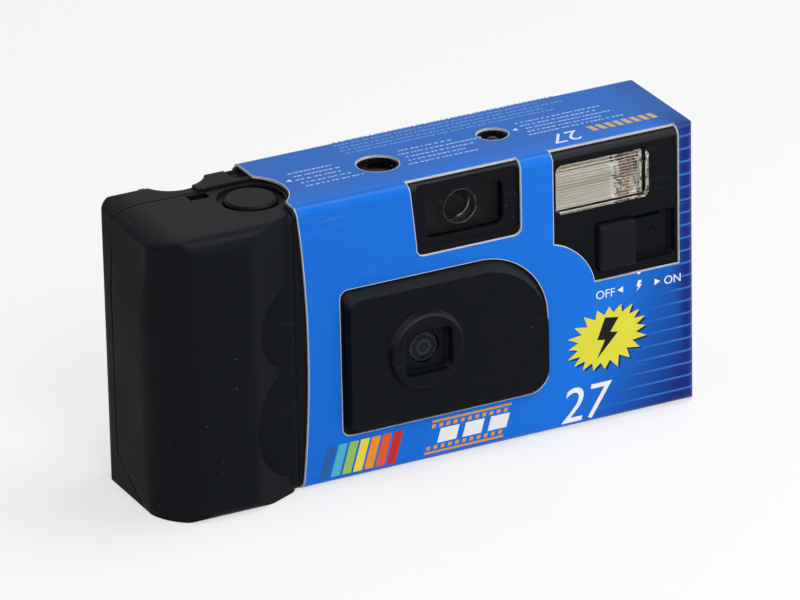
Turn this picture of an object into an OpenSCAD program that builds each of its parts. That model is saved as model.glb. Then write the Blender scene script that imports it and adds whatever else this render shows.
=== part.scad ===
// Single-use film camera with flash: two moulded covers, a printed card sleeve, the film path,
// the shutter works and the flash circuit. Millimetres, +Z up, +Y towards the back.

/* [Film] */
// Diameter of the film cartridge
cart_d = 25; // [23:0.5:26]
// Width of the film strip
film_w = 35; // [32:0.5:36]
// Height of the film cartridge beyond the film's width
cart_ends = 12.5; // [11:0.5:14]
// Width of one picture
frame_w = 36; // [34:1:38]
// Height of one picture
frame_h = 24; // [20:1:25]
// Diameter of the film wound on the supply spool
roll_d = 18.4; // [16:0.2:20]

/* [Flash circuit] */
// Diameter of the battery
bat_d = 14.5; // [13.5:0.1:15]
// Length of the battery
bat_h = 50.5; // [44:0.5:51]
// Thickness of the circuit board
board_t = 1.2; // [0.8:0.1:1.6]
// Depth of the transformer behind the board
coil_t = 5.4; // [4.5:0.1:6.5]
// Diameter of the main capacitor
cap_d = 12; // [10:0.5:12.5]

/* [Housing] */
// Wall thickness of the moulded covers
wall = 1.4; // [1.2:0.1:1.6]
// Thickness of the card sleeve
sleeve_t = 0.5; // [0.4:0.05:0.6]
// Gap around loose or moving pieces
clear = 0.3; // [0.2:0.05:0.4]
// Radial play of a shaft in its bore
play = 0.05; // [0.02:0.01:0.08]
// How far the grip stands in front of the sleeve
grip_proud = 4.2; // [3:0.2:5]
// Step from the grip's top up to the deck under the sleeve
grip_step = 0.5; // [0.3:0.1:0.8]
// Plan radius of the grip's front left corner
grip_fr = 11.5; // [9:0.5:12]
// Plan radius of the grip's rear left corner
grip_rr = 6.5; // [5:0.5:8]
// Rounding of the grip's rear and bottom edges
grip_er = 2.4; // [1.8:0.1:2.6]
// Rounding of the grip's top edge at the front
grip_fer = 3.6; // [2.8:0.1:4]
// Rounding of the sleeved body's long edges
body_er = 1.6; // [1.2:0.1:2]
// Room beside the cartridge for the film sprocket
spool_room = 10; // [9:0.5:12]
// Film rail between the picture gate and the supply roll
rail_margin = 5; // [4:0.5:7]

/* [Front] */
// Width of the lens panel
panel_w = 44.8; // [42:0.2:46]
// Height of the lens panel
panel_h = 30; // [28:0.5:31]
// How far the lens panel stands out
panel_proud = 2.2; // [1.5:0.1:2.4]
// Diameter of the ring around the lens
boss_d = 16.6; // [15:0.2:18]
// Height of the ring around the lens
boss_h = 1.6; // [1:0.1:1.8]
// Diameter of the taking lens
lens_d = 8.8; // [8:0.2:9.2]
// Width of the flash window
flash_w = 20.6; // [18:0.2:21]
// Height of the flash window
flash_h = 10.3; // [9:0.1:10.6]

/* [Controls] */
// Diameter of the shutter button
button_d = 10.6; // [9.6:0.2:11]
// Travel of the shutter button
button_travel = 1.8; // [1.4:0.1:1.8]
// Diameter of the film advance wheel
wheel_d = 27.4; // [26.6:0.2:27.6]
// Thickness of the film advance wheel
wheel_t = 4.6; // [4:0.1:5]
// Teeth round the film advance wheel
wheel_teeth = 44; // [36:1:52]
// Width of the flash switch knob
switch_w = 8.2; // [7:0.2:8.6]
// Travel of the flash switch
switch_travel = 9; // [7:0.2:9]

/* [Hidden] */
$fn = 64;
// Fixed small sizes of the inner works
cham_t = 1;
roll_clear = 0.6;
switch_room = 2.5;
film_t = 0.2;
blade_t = 0.3;
lever_t = 0.7;
post_r = 1;
pin_r = 1.5;
plate_t = 1.2;
notch_r = 6.6;
cart_r = cart_d / 2;
cart_h = film_w + cart_ends;
roll_r = roll_d / 2;
bat_r = bat_d / 2;
wheel_r = wheel_d / 2;
button_r = button_d / 2;

// Widths add up from the left end to the right end
grip_in = wall + clear + cham_t + clear;
body_w = grip_in + cart_d + clear + cham_t + spool_room + frame_w + rail_margin + 2 * cham_t
  + 2 * roll_clear + roll_d + bat_d + 2 * clear + wall + sleeve_t;
left_x = -body_w / 2;
right_x = body_w / 2;
cart_x = left_x + grip_in + cart_r;
lens_x = cart_x + cart_r + clear + cham_t + spool_room + frame_w / 2;
sup_x = lens_x + frame_w / 2 + rail_margin + cham_t + roll_clear + roll_r;
bat_x = sup_x + roll_r + roll_clear + cham_t + clear + bat_r;
body_x1 = right_x - sleeve_t;
in_x1 = body_x1 - wall;
sleeve_x0 = cart_x + cart_r + clear + cham_t + 1.7;
grip_x1 = sleeve_x0 - 0.15;
bulge_x1 = sleeve_x0 - 3.9;

// Depths add up from the front of the sleeve to its back
cavity_d = switch_room + board_t + coil_t + 2 * clear + bat_d;
body_d = 2 * sleeve_t + 2 * wall + cavity_d;
front_y = (grip_proud - body_d) / 2;
back_y = front_y + body_d;
body_fy = front_y + sleeve_t;
in_fy = body_fy + wall;
in_ry = in_fy + cavity_d;
body_ry = in_ry + wall;
cart_y = in_ry - clear - cart_r;
film_y = in_ry - 0.7;
sup_y = film_y - film_t / 2 - 0.1 - roll_r;
bat_y = in_ry - clear - bat_r;
board_y = in_fy + switch_room;
seam_y = back_y - 8.4;
mech_y = in_fy + 1.9;
rail_y = film_y - film_t / 2 - 0.2 - 1.4;

// Heights add up from the table to the top of the sleeve
in_z0 = sleeve_t + wall;
cart_z0 = in_z0;
lens_z = cart_z0 + cart_h / 2;
wheel_z0 = cart_z0 + cart_h + 2 * clear;
wheel_z1 = wheel_z0 + wheel_t;
grip_in_z = wheel_z1 + button_travel + 1.2;
grip_z1 = grip_in_z + wall;
body_z1 = grip_z1 + grip_step;
in_z1 = body_z1 - wall;
body_h = body_z1 + sleeve_t;

// Places of the pieces on the front and on the top
panel_x0 = lens_x - 16.9;
panel_z0 = lens_z - panel_h / 2 - 0.25;
finder_x = lens_x + 10.7;
finder_z = body_h - 8.1;
flash_x = body_x1 - 20.1;
flash_z = body_h - 8.3;
switch_x = body_x1 - 17.3;
switch_z = flash_z - 13.9;
button_x = cart_x + cart_r - 1.15;
button_y = cart_y - 1.5;
stem_x = button_x + 4.5;
stem_y = mech_y + 2.5;
counter_x = lens_x - 2.2;
counter_y = front_y + 12.9;
lamp_x = lens_x + 24.3;
lamp_y = front_y + 15.1;
dial_x = counter_x - 6.3;
dial_z = in_z1 - 2;
dial_r = 10.4;
sprocket_x = lens_x - 20.6;
sprocket_pr = 6.05;
sprocket_y = film_y - film_t / 2 - clear - sprocket_pr;
notch_x = cart_x + 2.2;
notch_y = back_y + 0.6;
blade_x = lens_x - 8.5;
blade_z = lens_z + 7.5;
tab_z = blade_z + 5;
lever_z = tab_z + 9;
catch_x = lens_x - 16;
catch_z = lens_z + 19;
plate_z1 = wheel_z0 - 0.6;
shelf_z = finder_z - 6.6;
door_x0 = left_x + 5;
door_x1 = grip_x1 - 5;
door_y0 = seam_y - 15.5;
door_y1 = back_y - 3.5;
door_t = wall - 0.35;
hinge_r = 0.6;

// Which sub-part to build, or all of them

// Cylinder along Y from y0 to y1
module ycyl(x, y0, y1, z, r) {
  translate([x, y0, z])
    rotate([-90, 0, 0])
      cylinder(h = y1 - y0, r = r);
}

// Cylinder along X from x0 to x1
module xcyl(x0, x1, y, z, r) {
  translate([x0, y, z])
    rotate([0, 90, 0])
      cylinder(h = x1 - x0, r = r);
}

// Box given by its two far corners
module block(a, b) {
  translate(a)
    cube([b[0] - a[0], b[1] - a[1], b[2] - a[2]]);
}

// Flat rectangle with rounded corners, from the origin
module rrect(w, h, r) {
  translate([r, 0])
    square([w - 2 * r, h]);
  translate([0, r])
    square([w, h - 2 * r]);
  for (x = [r, w - r])
    for (y = [r, h - r])
      translate([x, y])
        circle(r = r);
}

// Rounded rectangle in the front view, pushed back from y0 to y1
module yplate(x0, x1, z0, z1, y0, y1, r) {
  translate([x0, y1, z0])
    rotate([90, 0, 0])
      linear_extrude(y1 - y0)
        rrect(x1 - x0, z1 - z0, r);
}

// Side view of the grip from its front at y0: a full radius rf at the front top, grip_er elsewhere
module grip_side(y0, rf, i) {
  y1 = back_y - i;
  z1 = grip_z1 - i;
  r = grip_er - i;
  f = rf - i;
  translate([y0, i + r])
    square([y1 - y0, z1 - f - i - r]);
  translate([y0 + r, i])
    square([y1 - y0 - 2 * r, r + 1]);
  translate([y0 + f, z1 - f])
    square([y1 - y0 - f - r, f]);
  translate([y0 + f, z1 - f - 1])
    square([y1 - y0 - f, f + 1 - r]);
  for (c = [[y0 + r, i + r], [y1 - r, i + r], [y1 - r, z1 - r]])
    translate(c)
      circle(r = r);
  translate([y0 + f, z1 - f])
    circle(r = f);
}

// End of the grip in the front view: it leans in at the top and the base, and its top falls away
module grip_end(i) {
  t = max(0, 0.9 - i);
  z1 = grip_z1 - i;
  drop_r = 14 - i;
  intersection() {
    polygon([[left_x + t * 0.3, -1], [left_x - 0.3, 24], [left_x - 0.3, 36], [left_x + t, body_h + 2],
      [grip_x1 + 1, body_h + 2], [grip_x1 + 1, -1]]);
    union() {
      translate([left_x + 7, -1])
        square([60, body_h + 3]);
      translate([left_x - 1, -1])
        square([9, z1 - drop_r + 1]);
      translate([left_x + 7, z1 - drop_r])
        circle(r = drop_r, $fn = 160);
    }
  }
}

// Plan of the grip: the block beside the sleeve, or its proud front, which slopes back to the sleeve
module grip_plan(proud, i) {
  hull() {
    translate([left_x + grip_fr, front_y + grip_fr])
      circle(r = grip_fr - i);
    if (proud) {
      translate([left_x + grip_fr, front_y - grip_proud + grip_fr])
        circle(r = grip_fr - i);
      translate([bulge_x1 - 9.2, front_y - grip_proud + 6])
        circle(r = 6 - i);
      translate([grip_x1 - 3.7, front_y + 2.9])
        circle(r = 3 - i);
    } else {
      translate([left_x + grip_rr, back_y - grip_rr])
        circle(r = grip_rr - i);
      translate([grip_x1 - 1.8, front_y + 1.8])
        circle(r = 1.8 - i);
      translate([grip_x1 - 3, back_y - 3])
        circle(r = 3 - i);
    }
  }
}

// The grip: an upright block, a proud front and two finger hollows, all set in by i
module grip_block(i) {
  difference() {
    union() {
      for (p = [[front_y, body_er + 0.8, false], [front_y - grip_proud, grip_fer, true]])
        intersection() {
          translate([0, 0, -1])
            linear_extrude(body_h + 2)
              grip_plan(p[2], i);
          translate([left_x - 5, 0, 0])
            rotate([90, 0, 90])
              linear_extrude(body_w)
                grip_side(p[0] + i, p[1], i);
          translate([0, back_y + 5, 0])
            rotate([90, 0, 0])
              linear_extrude(body_d + grip_proud + 10)
                grip_end(i);
        }
    }
    ycyl(bulge_x1 + 2.4, front_y - 9, front_y + i, lens_z + 10.2, 8.2 + i);
    ycyl(bulge_x1 + 5, front_y - 9, front_y + i, lens_z - 9.9, 12.4 + i);
  }
}

// The part of the body that the sleeve covers, set in by i from the covers' outside
module body_block(i) {
  r = body_er - i / 2;
  intersection() {
    translate([sleeve_x0 - 0.6, body_fy + i, sleeve_t + i])
      rotate([90, 0, 90])
        linear_extrude(body_x1 - sleeve_x0 + 0.6 - i)
          rrect(body_d - 2 * sleeve_t - 2 * i, body_z1 - sleeve_t - 2 * i, r);
    translate([sleeve_x0 - 9, body_fy + i, -1])
      linear_extrude(body_h + 2)
        rrect(body_x1 - sleeve_x0 + 9 - i, body_d - 2 * sleeve_t - 2 * i, r);
  }
}

// Everything in front of the joint between the covers, which slants forward at the base
module front_half() {
  translate([left_x - 5, 0, 0])
    rotate([90, 0, 90])
      linear_extrude(body_w + 10)
        polygon([[-40, -5], [seam_y - 19.2, -5], [seam_y, 7.5], [seam_y, body_h + 5],
          [-40, body_h + 5]]);
}

module shell() {
  difference() {
    union() {
      grip_block(0);
      body_block(0);
    }
    grip_block(wall);
    body_block(wall);
    // passage from the grip to the body
    block([cart_x + 6, cart_y - cart_r + 1.4, in_z0], [sleeve_x0, in_ry, grip_in_z]);
    // opening for the film door in the base
    block([door_x0 - clear, door_y0 - clear, -1], [door_x1 + clear, door_y1 + clear, in_z0 + 0.1]);
  }
}

// Lens panel outline, pushed out from the body and set in towards its front
module lens_panel() {
  x0 = panel_x0;
  x1 = panel_x0 + panel_w;
  z0 = panel_z0;
  z1 = panel_z0 + panel_h;
  y0 = front_y - panel_proud;
  hull() {
    for (s = [[body_fy + 0.4, 0, 0], [y0, 0.6, 1.4]]) {
      translate([0, s[0] + 0.4, 0])
        rotate([90, 0, 0])
          linear_extrude(0.4) {
            translate([x0 + 2 + s[1], z0 + 2 + s[1]])
              circle(r = 2, $fn = 32);
            translate([x0 + 2 + s[1], z1 - 2 - s[2]])
              circle(r = 2, $fn = 32);
            translate([x1 - 4.5 - s[1], z0 + 4.5 + s[1]])
              circle(r = 4.5, $fn = 48);
            translate([x1 - 15 - s[1], z1 - 15 - s[2]])
              intersection() {
                circle(r = 15, $fn = 96);
                square(16);
              }
          }
    }
  }
}

module front_cover() {
  boss_y = front_y - panel_proud - boss_h;
  color([0.09, 0.1, 0.11])
    difference() {
      union() {
        intersection() {
          shell();
          front_half();
        }
        lens_panel();
        // raised ring round the lens, sloped outside and eased at its rim
        translate([lens_x, front_y - panel_proud + 0.1, lens_z])
          rotate([90, 0, 0])
            cylinder(h = boss_h - 0.3, r1 = boss_d / 2, r2 = boss_d / 2 - 0.35);
        translate([lens_x, front_y - panel_proud - boss_h + 0.4, lens_z])
          rotate([90, 0, 0])
            cylinder(h = 0.4, r1 = boss_d / 2 - 0.35, r2 = boss_d / 2 - 0.85);
        // bearing for the advance wheel
        translate([cart_x, cart_y, wheel_z1 + clear])
          cylinder(h = grip_in_z - wheel_z1 - clear + 0.2, r = pin_r + 2.6);
        // pocket behind the flash switch
        block([switch_x - switch_w, body_fy + 0.2, switch_z - 6.3],
          [in_x1 + 0.2, in_fy + 1.4, switch_z + 6.3]);
        // posts that carry the circuit board
        for (p = [[sup_x - 6, 8], [sup_x - 6, 40], [bat_x + 3, 22]])
          ycyl(p[0], in_fy - 0.2, board_y, p[1], 1.5);
      }
      // groove along the joint on the grip
      intersection() {
        difference() {
          front_half();
          translate([0, -0.35, 0])
            front_half();
          grip_block(0.4);
        }
        block([left_x - 1, front_y, -1], [grip_x1 - 1, back_y, body_h + 1]);
      }
      // square recess, aperture and seat of the lens
      yplate(lens_x - 5.2, lens_x + 5.2, lens_z - 4.8, lens_z + 4.8, boss_y - 1, boss_y + 2.2, 1.4);
      ycyl(lens_x, boss_y, in_fy + 1, lens_z, lens_d / 2 - 1.1);
      ycyl(lens_x, front_y - 0.4, in_fy + 1, lens_z, lens_d / 2 + play);
      // bore for the pin of the advance wheel
      translate([cart_x, cart_y, wheel_z1])
        cylinder(h = grip_in_z - wheel_z1 + 0.4, r = pin_r + play);
      // hole and sunk ring for the shutter button
      translate([button_x, button_y, grip_in_z - 1])
        cylinder(h = 9, r = button_r + clear / 2);
      translate([button_x, button_y, grip_z1 - 0.8])
        cylinder(h = 4, r = button_r + 1.4);
      translate([button_x - 2.7, button_y + 0.3, grip_z1 + 0.02])
        cylinder(h = 4, r = button_r + 4.6);
      // latch window in the top of the grip
      block([cart_x + 0.6, seam_y - 3.4, grip_in_z - 1], [cart_x + 4.8, seam_y - 0.8, grip_z1 + 1]);
      // finder opening with a stepped frame
      yplate(finder_x - 10.9, finder_x + 11.7, finder_z - 6.6, finder_z + 7.4,
        front_y - 1, body_fy + 0.5, 1.5);
      yplate(finder_x - 8.4, finder_x + 8.4, finder_z - 4.7, finder_z + 4.7,
        front_y - 1, in_fy + 1, 1.2);
      // flash opening
      yplate(flash_x - flash_w / 2 - 0.1, flash_x + flash_w / 2 + 0.1, flash_z - flash_h / 2 - 0.1,
        flash_z + flash_h / 2 + 0.1, front_y - 1, in_fy + 1, 1.5);
      // pocket that the flash switch slides in, and its guide slot
      yplate(switch_x - switch_w / 2 - clear, switch_x + switch_w / 2 + switch_travel + clear,
        switch_z - 5.1, switch_z + 5.1, front_y - 1, in_fy + 0.4, 0.8);
      block([switch_x - 1.5 - clear, in_fy, switch_z + 3.5],
        [switch_x + switch_travel + 1.5 + clear, in_fy + 3, switch_z + 5.1]);
      // round mark in the floor of the pocket
      ycyl(switch_x + switch_travel, in_fy, in_fy + 0.8, switch_z + 0.2, 0.9);
      // holes for the frame counter window and the ready lamp
      translate([counter_x, counter_y, in_z1 - 1])
        cylinder(h = 5, r = 3.9);
      translate([lamp_x, lamp_y, in_z1 - 1])
        cylinder(h = 5, r = 2.6);
    }
}

module rear_cover() {
  color([0.1, 0.11, 0.12])
    difference() {
      union() {
        difference() {
          shell();
          front_half();
        }
        // raised deck beside the sleeve
        block([notch_x + 1.5, seam_y, grip_z1 - 0.5], [grip_x1 - 0.4, back_y - 2.4, body_z1]);
        // wall round the thumb notch above the wheel
        intersection() {
          translate([notch_x, notch_y, wheel_z1 + clear])
            cylinder(h = grip_z1 - wheel_z1 - clear - 0.4, r = notch_r + 1.2);
          block([left_x, seam_y, 0], [right_x, body_ry - 0.2, body_h]);
        }
        // seats for the eyepiece and for the film door's hinge
        ycyl(finder_x, in_ry - 0.9, in_ry + 0.2, finder_z, 5.6);
        // guide ribs beside the battery
        block([in_x1 - 2, in_ry - 3, in_z0 + 4], [in_x1 + 0.2, in_ry + 0.2, in_z0 + bat_h - 4]);
      }
      translate([bat_x, bat_y, in_z0])
        cylinder(h = bat_h + 1, r = bat_r + clear / 2);
      // thumb notch over the advance wheel
      translate([notch_x, notch_y, wheel_z0 - clear])
        cylinder(h = 30, r = notch_r);
      // dark pocket in the raised deck
      block([grip_x1 - 3.2, seam_y + 1.2, grip_z1 - 0.4], [grip_x1 + 0.1, seam_y + 6, body_z1 + 1]);
      // eyepiece
      ycyl(finder_x, in_ry - 2, back_y + 1, finder_z, 3.9);
      ycyl(finder_x, in_ry - 2, body_ry - 0.6, finder_z, 4.4 + play);
      // relief behind the sprocket teeth
      translate([sprocket_x, sprocket_y, lens_z + film_w / 2 - 3.6])
        cylinder(h = 3.8, r = sprocket_pr + 1.6);
      // socket for the hinge pin of the film door
      xcyl(door_x0 - 1.6, door_x1 + 1.6, door_y1 - 0.7, door_t - 0.35, hinge_r + play);
    }
}

// Side view of the sleeve, set in by i
module sleeve_solid(i) {
  r = body_er + sleeve_t - i;
  intersection() {
    translate([sleeve_x0 - 9, front_y + i, i])
      rotate([90, 0, 90])
        linear_extrude(right_x - sleeve_x0 + 9 - i)
          rrect(body_d - 2 * i, body_h - 2 * i, r);
    translate([sleeve_x0 - 9, front_y + i, -1])
      linear_extrude(body_h + 2)
        rrect(right_x - sleeve_x0 + 9 - i, body_d - 2 * i, r);
  }
}

// Front-view outline of the flash cut-out, with its hollow corner
module flash_outline() {
  x0 = flash_x - 11.2;
  x1 = body_x1 - 3.3;
  difference() {
    translate([x0, switch_z - 7])
      square([x1 - x0, body_h - switch_z + 8]);
    translate([x0 - 3.3, switch_z - 9.3])
      circle(r = 12.6);
  }
}

module card_sleeve() {
  color([0.1, 0.42, 0.83])
    difference() {
      sleeve_solid(0);
      sleeve_solid(sleeve_t);
      // open left end, slightly hollow on the front
      block([left_x, front_y - 9, -9], [sleeve_x0, back_y + 9, body_h + 9]);
      translate([sleeve_x0 - 248.2, front_y + 5, lens_z + 4])
        rotate([90, 0, 0])
          cylinder(h = 20, r = 250, $fn = 720);
      // hollow round the shutter button
      translate([button_x - 2.7, button_y + 0.3, body_h - 3])
        cylinder(h = 9, r = button_r + 4.8);
      // lens panel
      translate([0, front_y + 1, 0])
        rotate([90, 0, 0])
          linear_extrude(4) {
            x0 = panel_x0 - 0.5;
            x1 = panel_x0 + panel_w + 0.3;
            z0 = panel_z0 - 0.8;
            z1 = panel_z0 + panel_h + 0.4;
            difference() {
              translate([x0, z0])
                rrect(x1 - x0, z1 - z0, 1.8);
              translate([x1 - 15, z1 - 15])
                difference() {
                  square(20);
                  circle(r = 15);
                }
              translate([x1 - 4.2, z0 - 15.8])
                difference() {
                  square(20);
                  translate([0, 20])
                    circle(r = 4.2);
                }
            }
          }
      // finder and flash cut-outs, which run up over the fold
      translate([0, front_y + 2.2, 0])
        rotate([90, 0, 0])
          linear_extrude(6) {
            translate([finder_x - 11.1, finder_z - 7.4])
              rrect(23, 20, 1.6);
            polygon([[finder_x - 10.6, finder_z - 5], [finder_x - 11.1, finder_z + 12],
              [finder_x - 12.8, finder_z + 12], [finder_x - 11.1, finder_z - 5]]);
            flash_outline();
          }
      // round holes over the frame counter and the ready lamp
      translate([counter_x, counter_y, body_h - 2])
        cylinder(h = 9, r = 4.3);
      translate([lamp_x, lamp_y, body_h - 2])
        cylinder(h = 9, r = 3.2);
      // eyepiece opening at the back
      yplate(finder_x - 7, finder_x + 7, finder_z - 6, finder_z + 6, body_ry - 1, back_y + 9, 2);
    }
}

module film_door() {
  color([0.1, 0.11, 0.12])
    union() {
      difference() {
        union() {
          block([door_x0, door_y0, 0.35], [door_x1, door_y1 - 2, wall]);
          block([door_x0 + 1, door_y1 - 2.2, 0.35], [door_x1 - 1, door_y1 - 0.7, door_t]);
        }
        // grip groove for a fingernail
        block([cart_x - 4, door_y0 + 1, 0], [cart_x + 4, door_y0 + 2, 0.7]);
      }
      xcyl(door_x0 - 1.2, door_x1 + 1.2, door_y1 - 0.7, door_t - 0.35, hinge_r);
    }
}

module taking_lens() {
  r = lens_d / 2;
  s = (r * r + 0.9 * 0.9) / 1.8;
  color([0.82, 0.87, 0.9])
    translate([lens_x, front_y - 0.35, lens_z])
      rotate([-90, 0, 0])
        union() {
          cylinder(h = 1.3, r = r);
          intersection() {
            translate([0, 0, s - 0.9])
              sphere(r = s);
            translate([0, 0, -0.9])
              cylinder(h = 1, r = r - 1.3);
          }
        }
}

module lens_retainer() {
  color([0.13, 0.13, 0.14])
    difference() {
      union() {
        ycyl(lens_x, in_fy - 0.9, in_fy, lens_z, lens_d / 2);
        ycyl(lens_x, in_fy, in_fy + 0.6, lens_z, lens_d / 2 + 2);
      }
      ycyl(lens_x, in_fy - 2, in_fy + 2, lens_z, lens_d / 2 - 1.6);
    }
}

module chassis() {
  y1 = mech_y + plate_t;
  arc = cart_r + clear;
  sarc = roll_r + roll_clear;
  color([0.16, 0.17, 0.18])
    difference() {
      union() {
        // plate that carries the shutter works
        block([sleeve_x0 - 5, mech_y, in_z0], [lens_x + 22, y1, shelf_z]);
        block([sleeve_x0 - 5, mech_y, shelf_z - 1], [lens_x - 1, y1, plate_z1]);
        // dark box from the aperture to the picture gate
        hull() {
          block([lens_x - 5.2, y1 - 0.2, lens_z - 4.2], [lens_x + 5.2, y1, lens_z + 4.2]);
          block([lens_x - frame_w / 2 - 1.3, rail_y, lens_z - frame_h / 2 - 1.3],
            [lens_x + frame_w / 2 + 1.3, rail_y + 0.2, lens_z + frame_h / 2 + 1.3]);
        }
        // film rail plate and the shelf over it
        block([sleeve_x0 - 1.4, rail_y, in_z0], [sup_x - roll_r + 1.9, rail_y + 1.4, shelf_z]);
        block([sleeve_x0 - 0.8, rail_y, shelf_z - 0.2], [lens_x - 1, rail_y + 1.4, plate_z1 - 1]);
        block([sleeve_x0 - 0.8, counter_y - 2.4, plate_z1 - 2.2], [lens_x - 1, rail_y + 1.4, plate_z1 - 1]);
        // wall between the cartridge and the film gate
        intersection() {
          translate([cart_x, cart_y, in_z0])
            cylinder(h = plate_z1 - in_z0 - 1, r = arc + cham_t);
          block([cart_x + 9, mech_y + 0.3, 0], [sleeve_x0, rail_y - 1.5, body_h]);
        }
        // supply chamber with its two ends
        intersection() {
          translate([sup_x, sup_y, lens_z - film_w / 2 - 4])
            cylinder(h = film_w + 7.6, r = sarc + cham_t);
          block([sup_x - 20, board_y + board_t + clear, 0], [sup_x + 20, rail_y + 1.4, body_h]);
        }
        // ledge under the sprocket, post of the counter dial, seat of the button spring
        block([sprocket_x - 3.5, sprocket_y - 2.5, lens_z + film_w / 2 - 4.6],
          [sprocket_x + 3.5, rail_y + 0.2, lens_z + film_w / 2 - 3.6]);
        translate([dial_x, counter_y, plate_z1 - 1.4])
          cylinder(h = dial_z - clear - plate_z1 + 1.4, r = 2.8);
        translate([dial_x, counter_y, plate_z1])
          cylinder(h = dial_z + 1.6 - plate_z1, r = pin_r);
        block([sleeve_x0 - 2.4, mech_y, plate_z1 - 1], [stem_x + 2.8, stem_y + 2.6, plate_z1]);
        // pivots of the shutter works
        ycyl(blade_x, in_fy + 0.2, mech_y + 0.2, blade_z, post_r);
        ycyl(blade_x, in_fy + 0.15, mech_y + 0.2, lever_z, post_r);
        ycyl(blade_x, in_fy + 1.2, mech_y + 0.2, lever_z, post_r + 0.6);
        ycyl(catch_x, y1 - 0.2, y1 + 2.6, catch_z, post_r + 0.2);
        ycyl(blade_x - 9, in_fy + 0.6, mech_y + 0.2, tab_z + 1, 0.6);
      }
      // aperture and the inside of the dark box
      ycyl(lens_x, mech_y - 1, y1 + 1, lens_z, 1.8);
      hull() {
        block([lens_x - 4, y1 - 0.1, lens_z - 3], [lens_x + 4, y1, lens_z + 3]);
        block([lens_x - frame_w / 2, rail_y + 2, lens_z - frame_h / 2],
          [lens_x + frame_w / 2, rail_y + 2.2, lens_z + frame_h / 2]);
      }
      // cartridge and supply roll
      translate([cart_x, cart_y, 0])
        cylinder(h = plate_z1 + 5, r = arc);
      translate([sup_x, sup_y, lens_z - film_w / 2 - 2.8])
        cylinder(h = film_w + 5.2, r = sarc);
      translate([sup_x, sup_y, 0])
        cylinder(h = body_h, r = pin_r + play);
      // sprocket with its shaft
      translate([sprocket_x, sprocket_y, lens_z + film_w / 2 - 3.6])
        cylinder(h = 3.8, r = sprocket_pr + 1.5);
      translate([sprocket_x, sprocket_y, lens_z])
        cylinder(h = body_h, r = pin_r + play);
      // button stem
      translate([stem_x, stem_y, plate_z1 - 3])
        cylinder(h = 9, r = 1.5);
    }
}

module shutter_blade() {
  y0 = mech_y - clear - blade_t;
  color([0.2, 0.2, 0.21])
    difference() {
      union() {
        ycyl(lens_x, y0, y0 + blade_t, lens_z, 3.1);
        ycyl(blade_x, y0, y0 + blade_t, blade_z, 2.2);
        translate([blade_x, y0, blade_z])
          rotate([0, atan2(blade_z - lens_z, lens_x - blade_x), 0])
            block([0, 0, -1.4], [norm([lens_x - blade_x, lens_z - blade_z]), blade_t, 1.4]);
        block([blade_x - 1, y0, blade_z], [blade_x + 1, y0 + blade_t, tab_z + 0.6]);
        block([blade_x - 0.3, in_fy + 0.3, tab_z - 0.6], [blade_x + 0.7, y0 + blade_t, tab_z + 0.6]);
      }
      ycyl(blade_x, y0 - 1, y0 + 1, blade_z, post_r + play);
    }
}

module drive_lever() {
  y0 = in_fy + 0.4;
  color([0.75, 0.76, 0.78])
    difference() {
      union() {
        ycyl(blade_x, y0, y0 + lever_t, lever_z, 2.2);
        block([blade_x - 1.6, y0, tab_z - 0.4], [blade_x - 0.6, y0 + lever_t, lever_z]);
        block([blade_x - 1, y0, lever_z], [blade_x + 1, y0 + lever_t, plate_z1 + 2]);
        block([blade_x - 1, y0, plate_z1 + 0.9], [blade_x + 1, mech_y + plate_t + 2, plate_z1 + 2]);
      }
      ycyl(blade_x, y0 - 1, y0 + 2, lever_z, post_r + play);
    }
}

module release_lever() {
  y0 = mech_y + plate_t + clear;
  top = plate_z1 - 1 - clear - button_travel;
  color([0.22, 0.22, 0.23])
    difference() {
      union() {
        ycyl(catch_x, y0, y0 + 2, catch_z, 2.4);
        block([stem_x - 1.2, y0, catch_z - 1], [catch_x, y0 + 2, catch_z + 0.8]);
        block([stem_x - 1.2, y0, catch_z - 1], [stem_x + 1.2, y0 + 2, top]);
        block([catch_x, y0, catch_z - 0.8], [catch_x + 3.6, y0 + 2, catch_z + 0.8]);
        block([catch_x + 2.2, y0, catch_z - 0.8], [catch_x + 3.6, y0 + 2, plate_z1 - 2.6]);
      }
      ycyl(catch_x, y0 - 1, y0 + 3, catch_z, post_r + 0.2 + play);
    }
}

// Coil of round wire along Z, as one swept body
module coil(r, wire, z0, z1, turns) {
  per = 16;
  n = turns * per;
  m = 6;
  pts = [for (k = [0 : n]) for (j = [0 : m - 1])
    let (a = 360 * k / per, b = 360 * j / m, q = r + wire * cos(b))
      [q * cos(a), q * sin(a), z0 + (z1 - z0) * k / n + wire * sin(b)]];
  sides = [for (k = [0 : n - 1]) for (j = [0 : m - 1])
    [k * m + j, k * m + (j + 1) % m, (k + 1) * m + (j + 1) % m, (k + 1) * m + j]];
  polyhedron(points = pts, faces = concat([for (f = sides) [f[3], f[2], f[1], f[0]]],
    [[for (j = [0 : m - 1]) j], [for (j = [m - 1 : -1 : 0]) n * m + j]]));
}

module shutter_spring() {
  color([0.7, 0.7, 0.72])
    translate([blade_x - 8.2, in_fy + 0.95, tab_z + 1])
      rotate([0, 90, 0])
        coil(0.6, 0.15, 0.2, 6, 7);
}

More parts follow.
